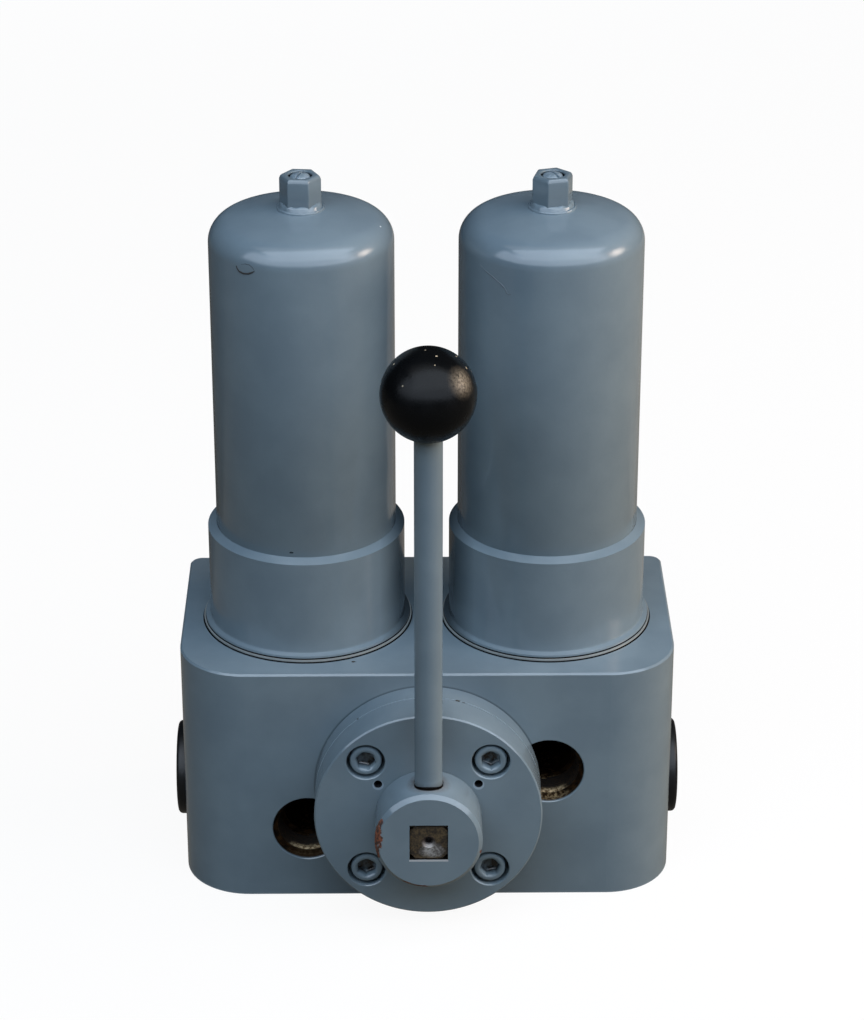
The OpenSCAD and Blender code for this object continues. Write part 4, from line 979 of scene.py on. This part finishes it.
# Plain cards glow evenly, and the warm one fades from its middle.
KEY_PLACE = (1.85, -0.12, 0.90)
BLACK, GREY, SKY, DARK, PALE, WARM = range(6)
card_mesh = bpy.data.meshes.new("cards")
for card_name, card_colour, glow in (("Black felt", "#1A1B1C", 1.0), ("Grey paper", "#75716A", 1.0),
                                     ("Sky cloth", "#E2EEFF", 3.2), ("Dark paper", "#4F4C47", 1.0),
                                     ("Pale paper", "#8F8B85", 1.0)):
    card_finish, tree, place, output = stage_finish(card_name)
    feed(output, {"Surface": add(tree, "Emission", {"Color": card_colour, "Strength": glow})})
    card_mesh.materials.append(card_finish)
card_finish, tree, place, output = stage_finish("Warm cloth, bright in the middle")
from_middle = add(tree, "VectorMath DISTANCE", {0: place, 1: KEY_PLACE}, "Value")
glow = add(tree, "MapRange", {"Value": from_middle, "From": (0.55, 0.0), "To": (0.0, 14.0)},
           interpolation_type="SMOOTHSTEP")
feed(output, {"Surface": add(tree, "Emission", {"Color": "#FFE9D8", "Strength": glow})})
card_mesh.materials.append(card_finish)

LEVEL, UPRIGHT, SIDEWAYS = (0, 0, 0), (90, 0, 0), (0, 90, 0)
CARDS = [(GREY, (0.3, -1.125, 0.0006), (5.0, 2.75), LEVEL), (DARK, (-1.1, 1.075, 0.0006), (2.2, 1.65), LEVEL),
         (PALE, (1.4, 1.075, 0.0006), (2.8, 1.65), LEVEL), (WARM, (1.84, -0.12, 0.90), (1.1, 1.1), SIDEWAYS),
         (BLACK, (0.3, 1.7, 1.3), (5.0, 2.6), UPRIGHT), (BLACK, (-1.7, -0.1, 1.3), (2.6, 3.8), SIDEWAYS),
         (BLACK, (2.6, -0.1, 1.3), (2.6, 3.8), SIDEWAYS), (BLACK, (0.3, 0.95, 2.6), (5.0, 1.6), LEVEL),
         (BLACK, (0.3, -2.05, 0.35), (5.0, 0.7), UPRIGHT), (SKY, (0.45, -2.05, 1.16), (4.3, 0.9), UPRIGHT),
         (SKY, (-1.69, -1.25, 1.41), (1.4, 1.6), SIDEWAYS), (SKY, (2.59, -1.25, 1.41), (1.4, 1.6), SIDEWAYS)]
bm = bmesh.new()
for finish_number, centre, size, tilt in CARDS:
    placed = Matrix.LocRotScale(Vector(centre), Euler([radians(t) for t in tilt]), Vector((*size, 1)))
    corners = bmesh.ops.create_grid(bm, x_segments=1, y_segments=1, size=0.5, matrix=placed)["verts"]
    for f in corners[0].link_faces:
        f.material_index = finish_number
bm.to_mesh(card_mesh)
bm.free()
cards = bpy.data.objects.new("cards", card_mesh)
bpy.context.scene.collection.objects.link(cards)
cards.visible_camera = False
cards.visible_diffuse = False
cards.visible_transmission = False
cards.visible_shadow = False


def lamp(name, place, size, watts, colour, aim=(0, 0, 0.2), mirrored=False):
    """A rectangular softbox at a place, turned to aim at a point. mirrored lets it show in reflections."""
    light = bpy.data.lights.new(name, "AREA")
    light.shape = "RECTANGLE"
    light.size, light.size_y = size
    light.energy = watts
    light.color = linear(colour)[:3]
    box = bpy.data.objects.new(name, light)
    box.location = place
    box.rotation_euler = (Vector(aim) - Vector(place)).to_track_quat("-Z", "Y").to_euler()
    box.visible_camera = False
    box.visible_glossy = mirrored
    bpy.context.scene.collection.objects.link(box)


lamp("sky_softbox", (0.15, -1.18, 2.10), (4.4, 1.9), 87, "#DCECFF", mirrored=True)
lamp("warm_key", KEY_PLACE, (2.0, 1.05), 43, "#FFE6D0", aim=(0.05, 0, 0.2))
lamp("back_fill", (-0.3, 2.2, 0.35), (2.6, 0.6), 14, "#E6EEF8")

world = bpy.data.worlds.new("studio")
bpy.context.scene.world = world
world.use_nodes = True
tree = world.node_tree
tree.nodes.clear()
white = add(tree, "Background", {"Color": "#FFFFFF", "Strength": 1.0})
ambient = add(tree, "Background", {"Color": "#DCE6F2", "Strength": 0.03})
shown = add(tree, "MixShader", {0: seen_rays(tree), 1: ambient, 2: white})
feed(tree.nodes.new("ShaderNodeOutputWorld"), {"Surface": shown})

bpy.context.scene.view_settings.view_transform = "Standard"

camera_data = bpy.data.cameras.new("photo_view")
camera_data.sensor_width = 36
camera_data.lens = 114.87
camera_data.shift_y = -0.0045
camera_data.clip_end = 50
camera = bpy.data.objects.new("photo_view", camera_data)
camera.location = (-0.012344, -1.634234, 0.998856)
camera.rotation_euler = (radians(64.2), 0, -0.00938)
bpy.context.scene.collection.objects.link(camera)
bpy.context.scene.camera = camera
